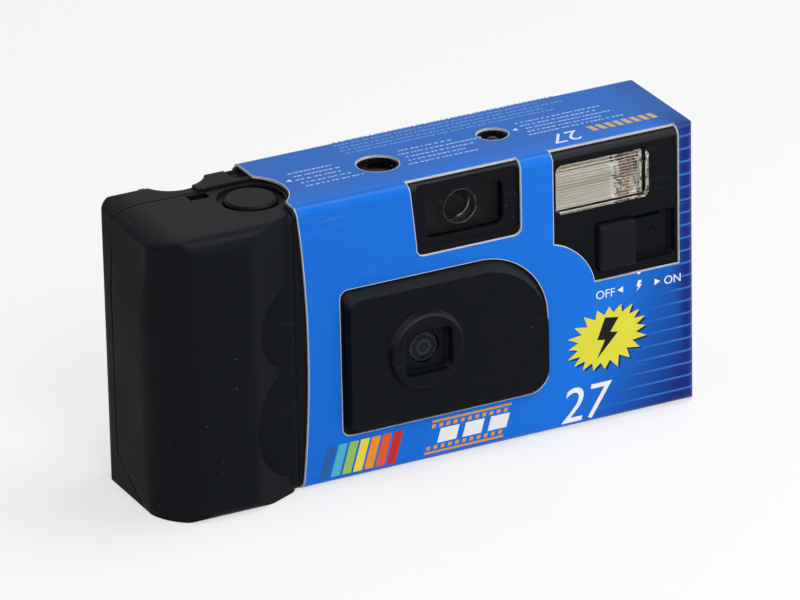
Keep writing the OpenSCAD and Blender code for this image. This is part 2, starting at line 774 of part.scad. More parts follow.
module shutter_button() {
  z0 = wheel_z1 + clear + button_travel;
  color([0.07, 0.07, 0.08])
    union() {
      // cap with a broken top edge, and the flange that holds it in
      translate([button_x, button_y, z0])
        cylinder(h = grip_z1 - 0.25 - z0, r = button_r);
      translate([button_x, button_y, grip_z1 - 0.25])
        cylinder(h = 0.4, r1 = button_r, r2 = button_r - 0.5);
      translate([button_x, button_y, z0])
        cylinder(h = grip_in_z - z0 - 0.1, r = button_r + 0.9);
      // arm and stem down to the release lever
      translate([button_x, button_y, z0])
        rotate([0, 0, atan2(stem_y - button_y, stem_x - button_x)])
          translate([0, -1.6, 0])
            cube([norm([stem_x - button_x, stem_y - button_y]), 3.2, grip_in_z - z0 - 0.1]);
      translate([stem_x, stem_y, z0])
        cylinder(h = grip_in_z - z0 - 0.1, r = 2.6);
      translate([stem_x, stem_y, plate_z1 - 1 - button_travel + 0.1])
        cylinder(h = grip_in_z - plate_z1 + 0.8 + button_travel, r = 1.2);
    }
}

module button_spring() {
  z1 = wheel_z1 + clear + button_travel;
  color([0.7, 0.7, 0.72])
    translate([stem_x, stem_y, 0])
      coil(1.95, 0.2, plate_z1 + 0.22, z1 - 0.22, 5);
}

module advance_wheel() {
  n = wheel_teeth;
  color([0.08, 0.08, 0.09])
    difference() {
      union() {
        translate([cart_x, cart_y, wheel_z0])
          linear_extrude(wheel_t)
            polygon([for (k = [0 : n - 1]) for (s = [[0, 0], [0.38, 0], [0.52, 0.7], [0.86, 0.7]])
              let (a = 360 * (k + s[0]) / n) (wheel_r - s[1]) * [cos(a), sin(a)]]);
        translate([cart_x, cart_y, wheel_z1 - 0.2])
          cylinder(h = grip_in_z - wheel_z1, r = pin_r);
      }
      // socket over the end of the cartridge spool
      translate([cart_x, cart_y, wheel_z0 - 1])
        cylinder(h = 4.2, r = 4);
    }
}

module cartridge_shell() {
  color([0.25, 0.45, 0.3])
    difference() {
      union() {
        translate([cart_x, cart_y, cart_z0 + 1])
          cylinder(h = cart_h - 2, r = cart_r - 0.3);
        block([cart_x, film_y - 0.9, lens_z - film_w / 2 - 1],
          [cart_x + cart_r + 1, film_y + 0.55, lens_z + film_w / 2 + 1]);
      }
      translate([cart_x, cart_y, 0])
        cylinder(h = body_h, r = cart_r - 0.8);
      block([cart_x - 1, film_y - 0.25, lens_z - film_w / 2 - 0.2],
        [cart_x + cart_r + 2, film_y + 0.25, lens_z + film_w / 2 + 0.2]);
    }
}

module cartridge_caps() {
  color([0.7, 0.71, 0.72])
    for (z = [cart_z0, cart_z0 + cart_h - 1])
      difference() {
        translate([cart_x, cart_y, z])
          cylinder(h = 1, r = cart_r);
        translate([cart_x, cart_y, z - 1])
          cylinder(h = 4, r = 3.5 + play);
      }
}

module cartridge_spool() {
  z0 = cart_z0 + 0.2;
  z1 = wheel_z0 + 3;
  color([0.12, 0.12, 0.13])
    difference() {
      union() {
        translate([cart_x, cart_y, z0])
          cylinder(h = z1 - z0, r = 3.5);
        translate([cart_x, cart_y, cart_z0 + 1 + clear])
          cylinder(h = cart_h - 2 - 2 * clear, r = 5.6);
      }
      translate([cart_x - 5, cart_y - 0.8, z1 - 2])
        cube([10, 1.6, 4]);
    }
}

module supply_spool() {
  z0 = lens_z - film_w / 2;
  color([0.14, 0.14, 0.15])
    union() {
      translate([sup_x, sup_y, z0 - 2])
        cylinder(h = film_w + 3.6, r = 4.4);
      translate([sup_x, sup_y, z0 - 2.4])
        cylinder(h = 1.4, r = 7);
      translate([sup_x, sup_y, z0 - 3.8])
        cylinder(h = film_w + 7.2, r = pin_r);
    }
}

module film_roll() {
  color([0.3, 0.26, 0.24])
    difference() {
      translate([sup_x, sup_y, lens_z - film_w / 2])
        cylinder(h = film_w, r = roll_r);
      translate([sup_x, sup_y, 0])
        cylinder(h = body_h, r = 4.4);
    }
}

module film_strip() {
  x0 = cart_x + 4;
  z0 = lens_z - film_w / 2;
  n = floor((sup_x - x0 - 2) / 4.75);
  color([0.34, 0.28, 0.26])
    translate([0, film_y + film_t / 2, 0])
      rotate([90, 0, 0])
        linear_extrude(film_t)
          difference() {
            translate([x0, z0])
              square([sup_x - x0, film_w]);
            for (k = [0 : n - 1])
              for (z = [z0 + 2, z0 + film_w - 4.8])
                translate([x0 + 1.5 + 4.75 * k, z])
                  square([2, 2.8]);
            // run of holes that the sprocket teeth stand in
            translate([sprocket_x - 4.6, z0 + film_w - 3.9])
              square([9.2, 2.6]);
          }
}

module film_sprocket() {
  z0 = lens_z + film_w / 2 - 3.4;
  r0 = sprocket_pr - 0.1;
  color([0.85, 0.85, 0.83])
    translate([sprocket_x, sprocket_y, 0])
      union() {
        // disc with eight teeth at the pitch of the film's holes
        translate([0, 0, z0])
          linear_extrude(1.6)
            polygon([for (k = [0 : 7]) for (s = [[-16, 0], [-6, 0], [-4, 1.2], [4, 1.2], [6, 0], [16, 0]])
              (r0 + s[1]) * [cos(45 * k + s[0]), sin(45 * k + s[0])]]);
        translate([0, 0, z0 - 1])
          cylinder(h = dial_z + 1 - z0 + 1, r = pin_r);
        // the one tooth that steps the counter dial
        translate([0.6, -0.4, dial_z + 0.1])
          cube([1.9, 0.8, 0.8]);
      }
}

module counter_dial() {
  n = 30;
  color([0.9, 0.9, 0.87])
    difference() {
      translate([dial_x, counter_y, dial_z])
        linear_extrude(1)
          polygon([for (k = [0 : n - 1]) for (s = [[0, 0], [0.6, 0], [0.8, 0.7]])
            let (a = 360 * (k + s[0]) / n) (dial_r - s[1]) * [cos(a), sin(a)]]);
      translate([dial_x, counter_y, dial_z - 1])
        cylinder(h = 3, r = pin_r + play);
    }
}

module counter_window() {
  color([0.85, 0.88, 0.9])
    union() {
      translate([counter_x, counter_y, in_z1 - 0.5])
        cylinder(h = 0.5, r = 4.8);
      translate([counter_x, counter_y, in_z1 - 0.5])
        cylinder(h = 0.8, r = 3.85);
    }
}

module finder_front() {
  color([0.8, 0.85, 0.88])
    difference() {
      union() {
        yplate(finder_x - 9.4, finder_x + 9.4, finder_z - 5.6, finder_z + 5.6,
          in_fy + 0.1, in_fy + 1.3, 1);
        ycyl(finder_x, in_fy + 1.2, in_fy + 3.6, finder_z, 3.5);
      }
      // hollow of the lens
      translate([finder_x, in_fy + 7.5, finder_z])
        sphere(r = 5);
    }
}

module finder_tunnel() {
  y0 = in_fy + 1.4;
  y1 = in_ry - 1.1;
  color([0.12, 0.12, 0.13])
    difference() {
      hull() {
        block([finder_x - 9.2, y0, finder_z - 5.5], [finder_x + 9.2, y0 + 0.5, finder_z + 5.5]);
        ycyl(finder_x, y1 - 0.5, y1, finder_z, 5.2, $fn = 48);
      }
      hull() {
        block([finder_x - 8.4, y0 - 0.1, finder_z - 4.7], [finder_x + 8.4, y0 + 0.5, finder_z + 4.7]);
        ycyl(finder_x, y1 - 0.5, y1 + 0.1, finder_z, 4.4, $fn = 48);
      }
    }
}

module finder_eyepiece() {
  color([0.8, 0.85, 0.88])
    ycyl(finder_x, in_ry - 0.7, body_ry - 0.7, finder_z, 4.4);
}

module flash_window() {
  x0 = flash_x - flash_w / 2;
  z0 = flash_z - flash_h / 2;
  color([0.86, 0.89, 0.9])
    union() {
      yplate(x0, x0 + flash_w, z0, z0 + flash_h, body_fy - 0.2, in_fy + 0.1, 1.4);
      block([x0 - 0.8, in_fy + 0.05, z0 - 0.5], [x0 + flash_w + 0.8, in_fy + 0.7, z0 + flash_h + 0.5]);
      // fine ribs on the inside
      for (k = [0 : 7])
        xcyl(x0 + 0.6, x0 + flash_w - 0.6, in_fy + 0.7, z0 + flash_h * (k + 0.5) / 8, 0.35, $fn = 24);
    }
}

module flash_reflector() {
  x0 = flash_x - flash_w / 2 + 0.4;
  x1 = flash_x + flash_w / 2 - 0.4;
  y0 = in_fy + 1.15;
  h = flash_h / 2 - 0.3;
  color([0.84, 0.84, 0.85])
    difference() {
      translate([x0, y0, flash_z])
        rotate([90, 0, 90])
          linear_extrude(x1 - x0)
            polygon([for (k = [-8 : 8]) [6.4 * (1 - k * k / 64), h * k / 8]]);
      translate([x0 + 0.4, y0 - 0.01, flash_z])
        rotate([90, 0, 90])
          linear_extrude(x1 - x0 - 0.8)
            polygon([for (k = [-8 : 8]) [5.9 * (1 - k * k / 64), (h - 0.4) * k / 8]]);
      xcyl(x0 - 1, x1 + 1, y0 + 2.6, flash_z, 1.3 + clear / 2);
    }
}

module flash_tube() {
  y = in_fy + 3.75;
  color([0.9, 0.9, 0.88])
    union() {
      xcyl(flash_x - flash_w / 2 - 0.6, flash_x + flash_w / 2 + 0.6, y, flash_z, 1.3);
      for (s = [-1, 1])
        translate([s * (flash_w / 2 + 1.2), 0, 0])
          xcyl(flash_x - 0.8, flash_x + 0.8, y, flash_z, 0.4);
    }
}

module flash_switch() {
  x0 = switch_x - switch_w / 2;
  x1 = switch_x + switch_w / 2;
  z0 = switch_z - 4.8;
  z1 = switch_z + 4.8;
  color([0.1, 0.11, 0.12])
    union() {
      // knob with an eased face
      hull() {
        yplate(x0, x1, z0, z1, front_y - 0.6, in_fy + 0.3, 0.6);
        yplate(x0 + 0.5, x1 - 0.5, z0 + 0.5, z1 - 0.6, front_y - 1.1, front_y, 0.5);
      }
      // neck in the guide slot, and the foot behind it
      block([switch_x - 1.5, in_fy + 0.2, switch_z + 3.8],
        [switch_x + 1.5, in_fy + 1.6, switch_z + 4.8]);
      block([switch_x - 1.5, in_fy + 1.5, switch_z - 0.4],
        [switch_x + 1.5, in_fy + 1.9, switch_z + 6]);
    }
}

module switch_contact() {
  color([0.78, 0.66, 0.36])
    block([switch_x + switch_travel - 3, board_y - 0.25, switch_z - 2],
      [switch_x + switch_travel + 3, board_y, switch_z + 2]);
}

module circuit_board() {
  color([0.16, 0.36, 0.22])
    block([lens_x + 23, board_y, in_z0 + 1],
      [in_x1 - clear, board_y + board_t, flash_z - flash_h / 2 - 1.2]);
}

module transformer() {
  y0 = board_y + board_t;
  color([0.3, 0.28, 0.2])
    union() {
      block([bat_x - 6, y0, 6], [bat_x + 6, y0 + coil_t, 8.5]);
      block([bat_x - 4.5, y0, 8], [bat_x + 4.5, y0 + coil_t - 0.6, 16]);
      block([bat_x - 6, y0, 15.5], [bat_x + 6, y0 + coil_t, 18]);
    }
}

module trigger_coil() {
  color([0.55, 0.3, 0.12])
    xcyl(bat_x - 5, bat_x + 5, board_y + board_t + 2.4, 26, 2.4);
}

module capacitor() {
  x0 = lens_x - 15;
  x1 = lens_x + 15;
  y = mech_y + plate_t + 2.4 + cap_d / 2;
  z = in_z0 + 0.1 + cap_d / 2;
  color([0.12, 0.13, 0.2])
    union() {
      xcyl(x0, x1, y, z, cap_d / 2);
      for (s = [-2, 2])
        xcyl(x1 - 1, x1 + 3, y + s, z, 0.35);
    }
}

module battery() {
  z0 = in_z0 + 0.6;
  color([0.75, 0.6, 0.3])
    union() {
      translate([bat_x, bat_y, z0])
        cylinder(h = bat_h - 1, r = bat_r);
      translate([bat_x, bat_y, z0 + bat_h - 1.2])
        cylinder(h = 1.2, r = 2.7);
    }
}

module battery_contacts() {
  z1 = in_z0 + 0.6 + bat_h;
  color([0.8, 0.7, 0.42])
    for (c = [[in_z0 + 0.1, in_ry - 1.4], [z1 + 0.1, in_ry - 0.1]])
      block([bat_x - 4, bat_y - 6.6, c[0]], [bat_x + 4, c[1], c[0] + 0.4]);
}

module ready_lamp() {
  color([0.9, 0.5, 0.25])
    union() {
      translate([lamp_x, lamp_y, lens_z + film_w / 2 + 3.6])
        cylinder(h = in_z1 - 0.8 - lens_z - film_w / 2 - 3.6, r = 2.1);
      translate([lamp_x, lamp_y, in_z1 - 0.8])
        sphere(r = 2.1);
    }
}

front_cover();
rear_cover();
card_sleeve();
film_door();
taking_lens();
lens_retainer();
chassis();
shutter_blade();
drive_lever();
release_lever();
shutter_spring();
shutter_button();
button_spring();
advance_wheel();
cartridge_shell();
cartridge_caps();
cartridge_spool();
supply_spool();
film_roll();
film_strip();
film_sprocket();
counter_dial();
counter_window();
finder_front();
finder_tunnel();
finder_eyepiece();
flash_window();
flash_reflector();
flash_tube();
flash_switch();
switch_contact();
circuit_board();
transformer();
trigger_coil();
capacitor();
battery();
battery_contacts();
ready_lamp();
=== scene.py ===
# %% [markdown]
# A single-use film camera: a black moulded body with a grip, dressed in a printed card sleeve.
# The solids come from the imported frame, so this script only gives them finishes, adds the print
# that lies on the card, and sets up the camera and the light.

# %% Load the frame
import math
import random
import bpy
import bmesh
from mathutils import Matrix, Vector


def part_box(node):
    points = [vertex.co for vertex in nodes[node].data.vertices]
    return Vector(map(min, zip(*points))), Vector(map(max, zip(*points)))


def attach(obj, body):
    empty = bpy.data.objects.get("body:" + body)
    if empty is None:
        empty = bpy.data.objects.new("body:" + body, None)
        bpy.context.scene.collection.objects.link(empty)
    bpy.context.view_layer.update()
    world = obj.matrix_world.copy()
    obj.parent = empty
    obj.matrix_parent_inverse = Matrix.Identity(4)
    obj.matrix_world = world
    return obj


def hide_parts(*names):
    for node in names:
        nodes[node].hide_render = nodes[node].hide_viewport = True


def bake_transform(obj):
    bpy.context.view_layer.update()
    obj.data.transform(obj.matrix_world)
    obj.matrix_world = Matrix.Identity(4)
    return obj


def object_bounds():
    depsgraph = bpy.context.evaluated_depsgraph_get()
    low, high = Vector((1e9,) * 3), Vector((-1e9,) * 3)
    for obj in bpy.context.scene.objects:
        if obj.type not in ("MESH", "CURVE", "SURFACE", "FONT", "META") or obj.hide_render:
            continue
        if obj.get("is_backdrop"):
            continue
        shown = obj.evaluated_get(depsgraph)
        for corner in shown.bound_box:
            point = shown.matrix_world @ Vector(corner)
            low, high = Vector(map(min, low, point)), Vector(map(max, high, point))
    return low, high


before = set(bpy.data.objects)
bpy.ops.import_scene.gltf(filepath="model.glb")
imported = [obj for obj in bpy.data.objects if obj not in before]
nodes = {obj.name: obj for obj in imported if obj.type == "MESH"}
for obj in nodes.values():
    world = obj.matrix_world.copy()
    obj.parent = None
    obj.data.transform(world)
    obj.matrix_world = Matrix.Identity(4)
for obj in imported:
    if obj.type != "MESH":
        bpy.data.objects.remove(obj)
cad_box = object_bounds()
MM = 0.001
lo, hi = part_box("card_sleeve")
FRONT, BACK, TOP, RIGHT, LEFT = lo[1] / MM, hi[1] / MM, hi[2] / MM, hi[0] / MM, lo[0] / MM
print("nodes", len(nodes), "sleeve front at", round(FRONT, 2), "mm, top at", round(TOP, 2))

# %% [markdown]
# The photograph was taken with a long lens from the upper left, so lines that run back stay almost
# parallel. A camera matrix built from three unit vectors puts the view exactly where it was: the
# direction it looks in, the picture's right and the picture's up.

# %% Camera
AZ, EL, ROLL = math.radians(26.40), math.radians(23.87), math.radians(-1.24)
look = Vector((math.sin(AZ) * math.cos(EL), math.cos(AZ) * math.cos(EL), -math.sin(EL)))
side = Vector((math.cos(AZ), -math.sin(AZ), 0))
rise = side.cross(look)
right = side * math.cos(ROLL) + rise * math.sin(ROLL)
up = rise * math.cos(ROLL) - side * math.sin(ROLL)
TARGET, DISTANCE = Vector((0.95, 3.1, 28.8)) * MM, 1.524
SENSOR, FOCAL_PIXELS, PICTURE_PIXELS = 36, 7700, 800
eye = TARGET - look * DISTANCE
cam = bpy.data.objects.new("photo_camera", bpy.data.cameras.new("photo_camera"))
bpy.context.scene.collection.objects.link(cam)
turn = Matrix((right, up, -look)).transposed().to_4x4()
cam.matrix_world = Matrix.Translation(eye) @ turn
cam.data.sensor_fit = "HORIZONTAL"
cam.data.sensor_width = SENSOR
cam.data.lens = SENSOR * FOCAL_PIXELS / PICTURE_PIXELS
cam.data.clip_end = 20
bpy.context.scene.camera = cam
print("camera at", [round(v, 3) for v in eye])

# %% [markdown]
# Product pictures use large soft lamps. Small ones would give hard shadows and sharp highlights, so each
# lamp here is a wide square. One stands high in front, a weaker one fills from the right, and a third
# hangs over the top, a little to the right.

# %% Lamps
scene = bpy.context.scene
scene.view_settings.view_transform = "Standard"


def lamp(name, place, aim, size, power):
    light = bpy.data.lights.new(name, "AREA")
    light.size = size
    light.energy = power
    ob = bpy.data.objects.new(name, light)
    ob.location = place
    ob.rotation_euler = (Vector(aim) - Vector(place)).to_track_quat("-Z", "Y").to_euler()
    scene.collection.objects.link(ob)


AIM = (0, 0, 0.03)
lamp("key_softbox", (-0.12, -0.84, 0.80), AIM, size=0.5, power=5.9)
lamp("fill_panel", (0.8, -0.9, 0.35), AIM, size=0.7, power=2.5)
lamp("top_panel", (0.38, -0.06, 0.95), AIM, size=0.55, power=5.4)
print("lamps:", [light.name for light in bpy.data.lights])

# %% [markdown]
# The background is white. It could be one bright world, but that would wash the colours out, so the world
# is white to the camera, through glass and in reflections, and much dimmer as a source of light. Colours
# then render about as they are written.

# %% World


def link(tree, a, b):
    tree.links.new(a, b)


WORLD_LIGHT, WORLD_SEEN = 0.30, 1.0
world = bpy.data.worlds.new("studio_white")
scene.world = world
world.use_nodes = True
wt = world.node_tree
wt.nodes.clear()
path = wt.nodes.new("ShaderNodeLightPath")
seen = wt.nodes.new("ShaderNodeMath")
seen.operation = "MAXIMUM"
seen2 = wt.nodes.new("ShaderNodeMath")
seen2.operation = "MAXIMUM"
power = wt.nodes.new("ShaderNodeMapRange")
power.inputs["To Min"].default_value = WORLD_LIGHT
power.inputs["To Max"].default_value = WORLD_SEEN
bg = wt.nodes.new("ShaderNodeBackground")
out = wt.nodes.new("ShaderNodeOutputWorld")
link(wt, path.outputs["Is Camera Ray"], seen.inputs[0])
link(wt, path.outputs["Is Transmission Ray"], seen.inputs[1])
link(wt, seen.outputs[0], seen2.inputs[0])
link(wt, path.outputs["Is Glossy Ray"], seen2.inputs[1])
link(wt, seen2.outputs[0], power.inputs["Value"])
link(wt, power.outputs["Result"], bg.inputs["Strength"])
link(wt, bg.outputs[0], out.inputs["Surface"])
print("world strength:", WORLD_LIGHT, "as light,", WORLD_SEEN, "where it is seen")

# %% [markdown]
# The object stands on a wide flat sheet that takes its shadow. The sheet lies a hair under the base, so
# the two never share a plane, and it is marked as stage, because it isn't part of the object.

# %% Floor sheet
FLOOR_HALF, FLOOR_DROP = 4, 0.0002
corners = [(a * FLOOR_HALF, b * FLOOR_HALF, 0) for a, b in ((-1, -1), (1, -1), (1, 1), (-1, 1))]
floor_mesh = bpy.data.meshes.new("studio_floor")
floor_mesh.from_pydata(corners, [], [(0, 1, 2, 3)])
floor = bpy.data.objects.new("studio_floor", floor_mesh)
scene.collection.objects.link(floor)
floor.location.z = -FLOOR_DROP
floor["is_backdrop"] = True
print("floor", 2 * FLOOR_HALF, "m wide")

# %% [markdown]
# Materials are made of small node trees. They could be drawn by hand in the editor, but a script needs
# them as code. These helpers keep the cells short: they add a node with its fields, a sum, a mix of two
# colours, a range, or the length of two distances at right angles.

# %% Node helpers


def add(tree, kind, **fields):
    node = tree.nodes.new("ShaderNode" + kind)
    for key, value in fields.items():
        if key.startswith("in_"):
            node.inputs[key[3:].replace("_", " ")].default_value = value
        else:
            setattr(node, key, value)
    return node


def calc(tree, op, a, b=None):
    node = tree.nodes.new("ShaderNodeMath")
    node.operation = op
    for k, v in enumerate((a, b)):
        if v is None:
            continue
        if isinstance(v, (int, float)):
            node.inputs[k].default_value = v
        else:
            tree.links.new(v, node.inputs[k])
    return node.outputs[0]


def mix(tree, factor, a, b):
    node = tree.nodes.new("ShaderNodeMix")
    node.data_type = "RGBA"
    for sock, v in ((node.inputs[0], factor), (node.inputs[6], a), (node.inputs[7], b)):
        if isinstance(v, tuple):
            sock.default_value = (*v, 1)
        else:
            tree.links.new(v, sock)
    return node.outputs[2]


def ramp(tree, value, a, b, to0=0.0, to1=1.0):
    node = add(tree, "MapRange", in_From_Min=a, in_From_Max=b, in_To_Min=to0, in_To_Max=to1)
    tree.links.new(value, node.inputs["Value"])
    return node.outputs["Result"]


def far(tree, a, b):
    return calc(tree, "SQRT", calc(tree, "ADD", calc(tree, "MULTIPLY", a, a), calc(tree, "MULTIPLY", b, b)))


print("node helpers ready")

# %% [markdown]
# A shared effect is a node group, a small tree with named sockets that each material places with its own
# values. Its nodes could be copied into every material, but then a change has to be made in each. The
# other helpers start a material, turn screen colours into Blender's, and dress a piece: it gets its
# material, and its faces are smoothed except across sharp edges.

# %% Groups, materials and dressing
SMOOTH_ANGLE = 32


def group(name, ins, outs):
    tree = bpy.data.node_groups.new(name, "ShaderNodeTree")
    for label, kind, value in ins:
        sock = tree.interface.new_socket(label, in_out="INPUT", socket_type=kind)
        sock.default_value = value
    for label, kind in outs:
        tree.interface.new_socket(label, in_out="OUTPUT", socket_type=kind)
    return tree, tree.nodes.new("NodeGroupInput"), tree.nodes.new("NodeGroupOutput")


def place(tree, grp, **values):
    node = tree.nodes.new("ShaderNodeGroup")
    node.node_tree = grp
    for key, value in values.items():
        node.inputs[key].default_value = value
    return node


def material(name):
    mat = bpy.data.materials.new(name)
    mat.use_nodes = True
    tree = mat.node_tree
    tree.nodes.clear()
    shader = tree.nodes.new("ShaderNodeBsdfPrincipled")
    end = tree.nodes.new("ShaderNodeOutputMaterial")
    tree.links.new(shader.outputs[0], end.inputs[0])
    return mat, tree, shader


def srgb(*rgb):
    return tuple((v / 255) / 12.92 if v < 10.3 else ((v / 255 + 0.055) / 1.055) ** 2.4 for v in rgb)


def dress(name, mat, angle=SMOOTH_ANGLE):
    ob = nodes[name]
    ob.data.materials.clear()
    ob.data.materials.append(mat)
    ob.data.polygons.foreach_set("use_smooth", [True] * len(ob.data.polygons))
    ob.data.set_sharp_from_angle(angle=math.radians(angle))


print("helpers ready")

# %% [markdown]
# Moulded plastic is never quite even: the mould leaves a fine grain, handling leaves hairline scuffs
# that catch the light, and dust settles in specks. Each effect is a node group, so every plastic piece
# can use it with its own strength. The first is the grain: a fine noise for the bump, and a broad one for
# the patches that hands polish.

# %% Mould grain
F = "NodeSocketFloat"
FINE_GRAIN = 2600.0
GRAIN, gi, go = group("mould_grain", [("Scale", F, FINE_GRAIN), ("Depth", F, 1.0)],
                      [("Height", F), ("Patch", F)])
pos = add(GRAIN, "TexCoord")
fine = add(GRAIN, "TexNoise", in_Detail=2.0)
link(GRAIN, pos.outputs["Object"], fine.inputs["Vector"])
link(GRAIN, gi.outputs["Scale"], fine.inputs["Scale"])
broad = add(GRAIN, "TexNoise", in_Scale=55.0, in_Detail=3.0)
link(GRAIN, pos.outputs["Object"], broad.inputs["Vector"])
link(GRAIN, calc(GRAIN, "MULTIPLY", fine.outputs["Fac"], gi.outputs["Depth"]), go.inputs["Height"])
link(GRAIN, ramp(GRAIN, broad.outputs["Fac"], 0.3, 0.7), go.inputs["Patch"])
print("group", GRAIN.name)

# %% [markdown]
# Hairline scuffs are thin and run in a few directions. They could be drawn as curves, but noise stretched
# along one axis gives such streaks all over, here in two directions. A second noise keeps them to some
# places, as on a thing that has been carried.

# %% Hairline scuffs
HAIRLINE = (1.0, 14.0, 14.0)
SCUFF, si, so = group("hairline_scuffs", [("Scale", F, 90.0), ("Amount", F, 0.5)], [("Mask", F)])
pos = add(SCUFF, "TexCoord")
marks = []
for spin in ((0.3, 0.5, 0.9), (1.2, -0.4, 2.1)):
    turned = add(SCUFF, "Mapping")
    turned.inputs["Rotation"].default_value = spin
    turned.inputs["Scale"].default_value = HAIRLINE
    link(SCUFF, pos.outputs["Object"], turned.inputs["Vector"])
    streak = add(SCUFF, "TexNoise", in_Detail=1.0)
    link(SCUFF, turned.outputs[0], streak.inputs["Vector"])
    link(SCUFF, si.outputs["Scale"], streak.inputs["Scale"])
    marks.append(ramp(SCUFF, streak.outputs["Fac"], 0.68, 0.74))
where = add(SCUFF, "TexNoise", in_Scale=70.0, in_Detail=2.0)
link(SCUFF, pos.outputs["Object"], where.inputs["Vector"])
both = calc(SCUFF, "MAXIMUM", marks[0], marks[1])
both = calc(SCUFF, "MULTIPLY", both, ramp(SCUFF, where.outputs["Fac"], 0.5, 0.68))
link(SCUFF, calc(SCUFF, "MULTIPLY", both, si.outputs["Amount"]), so.inputs["Mask"])
print("group", SCUFF.name)

# %% [markdown]
# Dust lies in tiny separate dots. Noise would give blots, so this is a cell texture of which only the
# middle of each cell counts, and a noise leaves most of the cells bare.

# %% Dust specks
SPECK, pi, po = group("dust_specks", [("Scale", F, 420.0), ("Amount", F, 0.4)], [("Mask", F)])
pos = add(SPECK, "TexCoord")
cells = add(SPECK, "TexVoronoi")
link(SPECK, pos.outputs["Object"], cells.inputs["Vector"])
link(SPECK, pi.outputs["Scale"], cells.inputs["Scale"])
dots = ramp(SPECK, cells.outputs["Distance"], 0.10, 0.05)
some = add(SPECK, "TexNoise", in_Scale=160.0)
link(SPECK, pos.outputs["Object"], some.inputs["Vector"])
dots = calc(SPECK, "MULTIPLY", dots, ramp(SPECK, some.outputs["Fac"], 0.56, 0.62))
link(SPECK, calc(SPECK, "MULTIPLY", dots, pi.outputs["Amount"]), po.inputs["Mask"])
print("groups:", [g.name for g in bpy.data.node_groups])

# %% [markdown]
# The body plastic is black with a satin moulding. Its colour barely changes, so the finish lives in
# the roughness: broad patches a little smoother where hands polish it, hairline scuffs a little
# lighter, and a fine grain as bump. Two places differ: the upward-facing slopes round the lens panel get a
# painted sheen, a paler colour that stands in for light from above, and the far end of the grip is more matt.
# One function makes every plastic from these parts.

# %% Plastic function
DUST = (0.3, 0.3, 0.29)
GRAIN_DEEP = 0.00006
# places along the camera, in metres: from the first value to the second an effect grows from none to full
PANEL_SIDE = (-0.030, -0.027)
GRIP_END = (-0.0545, -0.0588)
CORNER_X, CORNER_Y = (-0.046, -0.050), (0.004, 0.001)


def plastic(name, colour, rough, grain=0.35, scuff=0.3, speck=0.2, lift=0.04, scale=FINE_GRAIN,
            spec=0.045, edge=0.25, corner=0.0, matt_end=0.0, painted_sheen=0.0):
    mat, t, sh = material(name)
    sh.inputs["Specular IOR Level"].default_value = spec
    if corner or matt_end or painted_sheen:
        at = add(t, "SeparateXYZ")
        link(t, add(t, "TexCoord").outputs["Object"], at.inputs[0])
    g = place(t, GRAIN, Scale=scale, Depth=1.0)
    s = place(t, SCUFF, Amount=scuff)
    d = place(t, SPECK, Amount=speck)
    paler = tuple(min(1, c + lift) for c in colour)
    base = mix(t, s.outputs["Mask"], colour, paler)
    base = mix(t, d.outputs["Mask"], base, DUST)
    # painted sheen: upward-facing slopes by the lens panel get a paler colour in place of light from above
    if painted_sheen:
        facing = add(t, "SeparateXYZ")
        link(t, add(t, "TexCoord").outputs["Normal"], facing.inputs[0])
        painted_sheen_mask = calc(t, "MULTIPLY", ramp(t, facing.outputs["Z"], 0.15, 0.4),
                     ramp(t, facing.outputs["Z"], 0.97, 0.85))
        painted_sheen_mask = calc(t, "MULTIPLY", painted_sheen_mask, ramp(t, at.outputs["X"], *PANEL_SIDE))
        base = mix(t, painted_sheen_mask, base, tuple(c + painted_sheen for c in colour))
    link(t, base, sh.inputs["Base Color"])
    r = ramp(t, g.outputs["Patch"], 0, 1, rough - 0.05, rough + 0.05)
    r = calc(t, "ADD", r, calc(t, "MULTIPLY", s.outputs["Mask"], 0.15))
    if matt_end:
        r = calc(t, "ADD", r, ramp(t, at.outputs["X"], *GRIP_END, 0.0, matt_end))
    link(t, r, sh.inputs["Roughness"])
    bump = add(t, "Bump", in_Strength=grain, in_Distance=GRAIN_DEEP)
    link(t, g.outputs["Height"], bump.inputs["Height"])
    soft = add(t, "Bevel", in_Radius=edge * MM, samples=6)
    if corner:
        wide = calc(t, "MULTIPLY", ramp(t, at.outputs["X"], *CORNER_X), ramp(t, at.outputs["Y"], *CORNER_Y))
        link(t, ramp(t, wide, 0, 1, edge * MM, corner * MM), soft.inputs["Radius"])
    link(t, soft.outputs[0], bump.inputs["Normal"])
    link(t, bump.outputs[0], sh.inputs["Normal"])
    return mat


print("plastic function ready")

# %% [markdown]
# One material could serve all the black pieces, but then the camera would look like one lump. The button
# and the wheel, which fingers polish, are smoother than the covers, the switch is a shade lighter, and the
# hidden pieces are duller. The sprocket is white, as small gears often are.

# %% Moulded pieces
COVER_ANGLE = 36
BODY = plastic("body_black", (0.0050, 0.0064, 0.0084), 0.36,
               edge=0.6, corner=2.6, matt_end=0.22, painted_sheen=0.018)
REAR = plastic("rear_black", (0.0058, 0.0066, 0.0072), 0.40, grain=0.5, edge=0.7, matt_end=0.18)
KNOB = plastic("knob_black", (0.0050, 0.0055, 0.0065), 0.30, grain=0.15, scuff=0.3)
INNER = plastic("inner_black", (0.004, 0.004, 0.0045), 0.55, scuff=0.0, speck=0.2)
WHITE = plastic("gear_white", (0.72, 0.72, 0.67), 0.42, scuff=0.1, speck=0.1, spec=0.4)
SLIDER = plastic("slider_black", (0.0095, 0.0108, 0.0145), 0.34, grain=0.15, edge=0.4)
mouldings = {"front_cover": BODY, "rear_cover": REAR, "film_door": REAR, "flash_switch": SLIDER,
             "shutter_button": KNOB, "advance_wheel": KNOB, "counter_dial": KNOB, "film_sprocket": WHITE}
for n in ("chassis", "lens_retainer", "finder_tunnel", "release_lever", "cartridge_spool", "supply_spool"):
    mouldings[n] = INNER
for n, mat in mouldings.items():
    dress(n, mat, COVER_ANGLE if mat in (BODY, REAR) else SMOOTH_ANGLE)
print("plastic on", len(mouldings), "nodes")

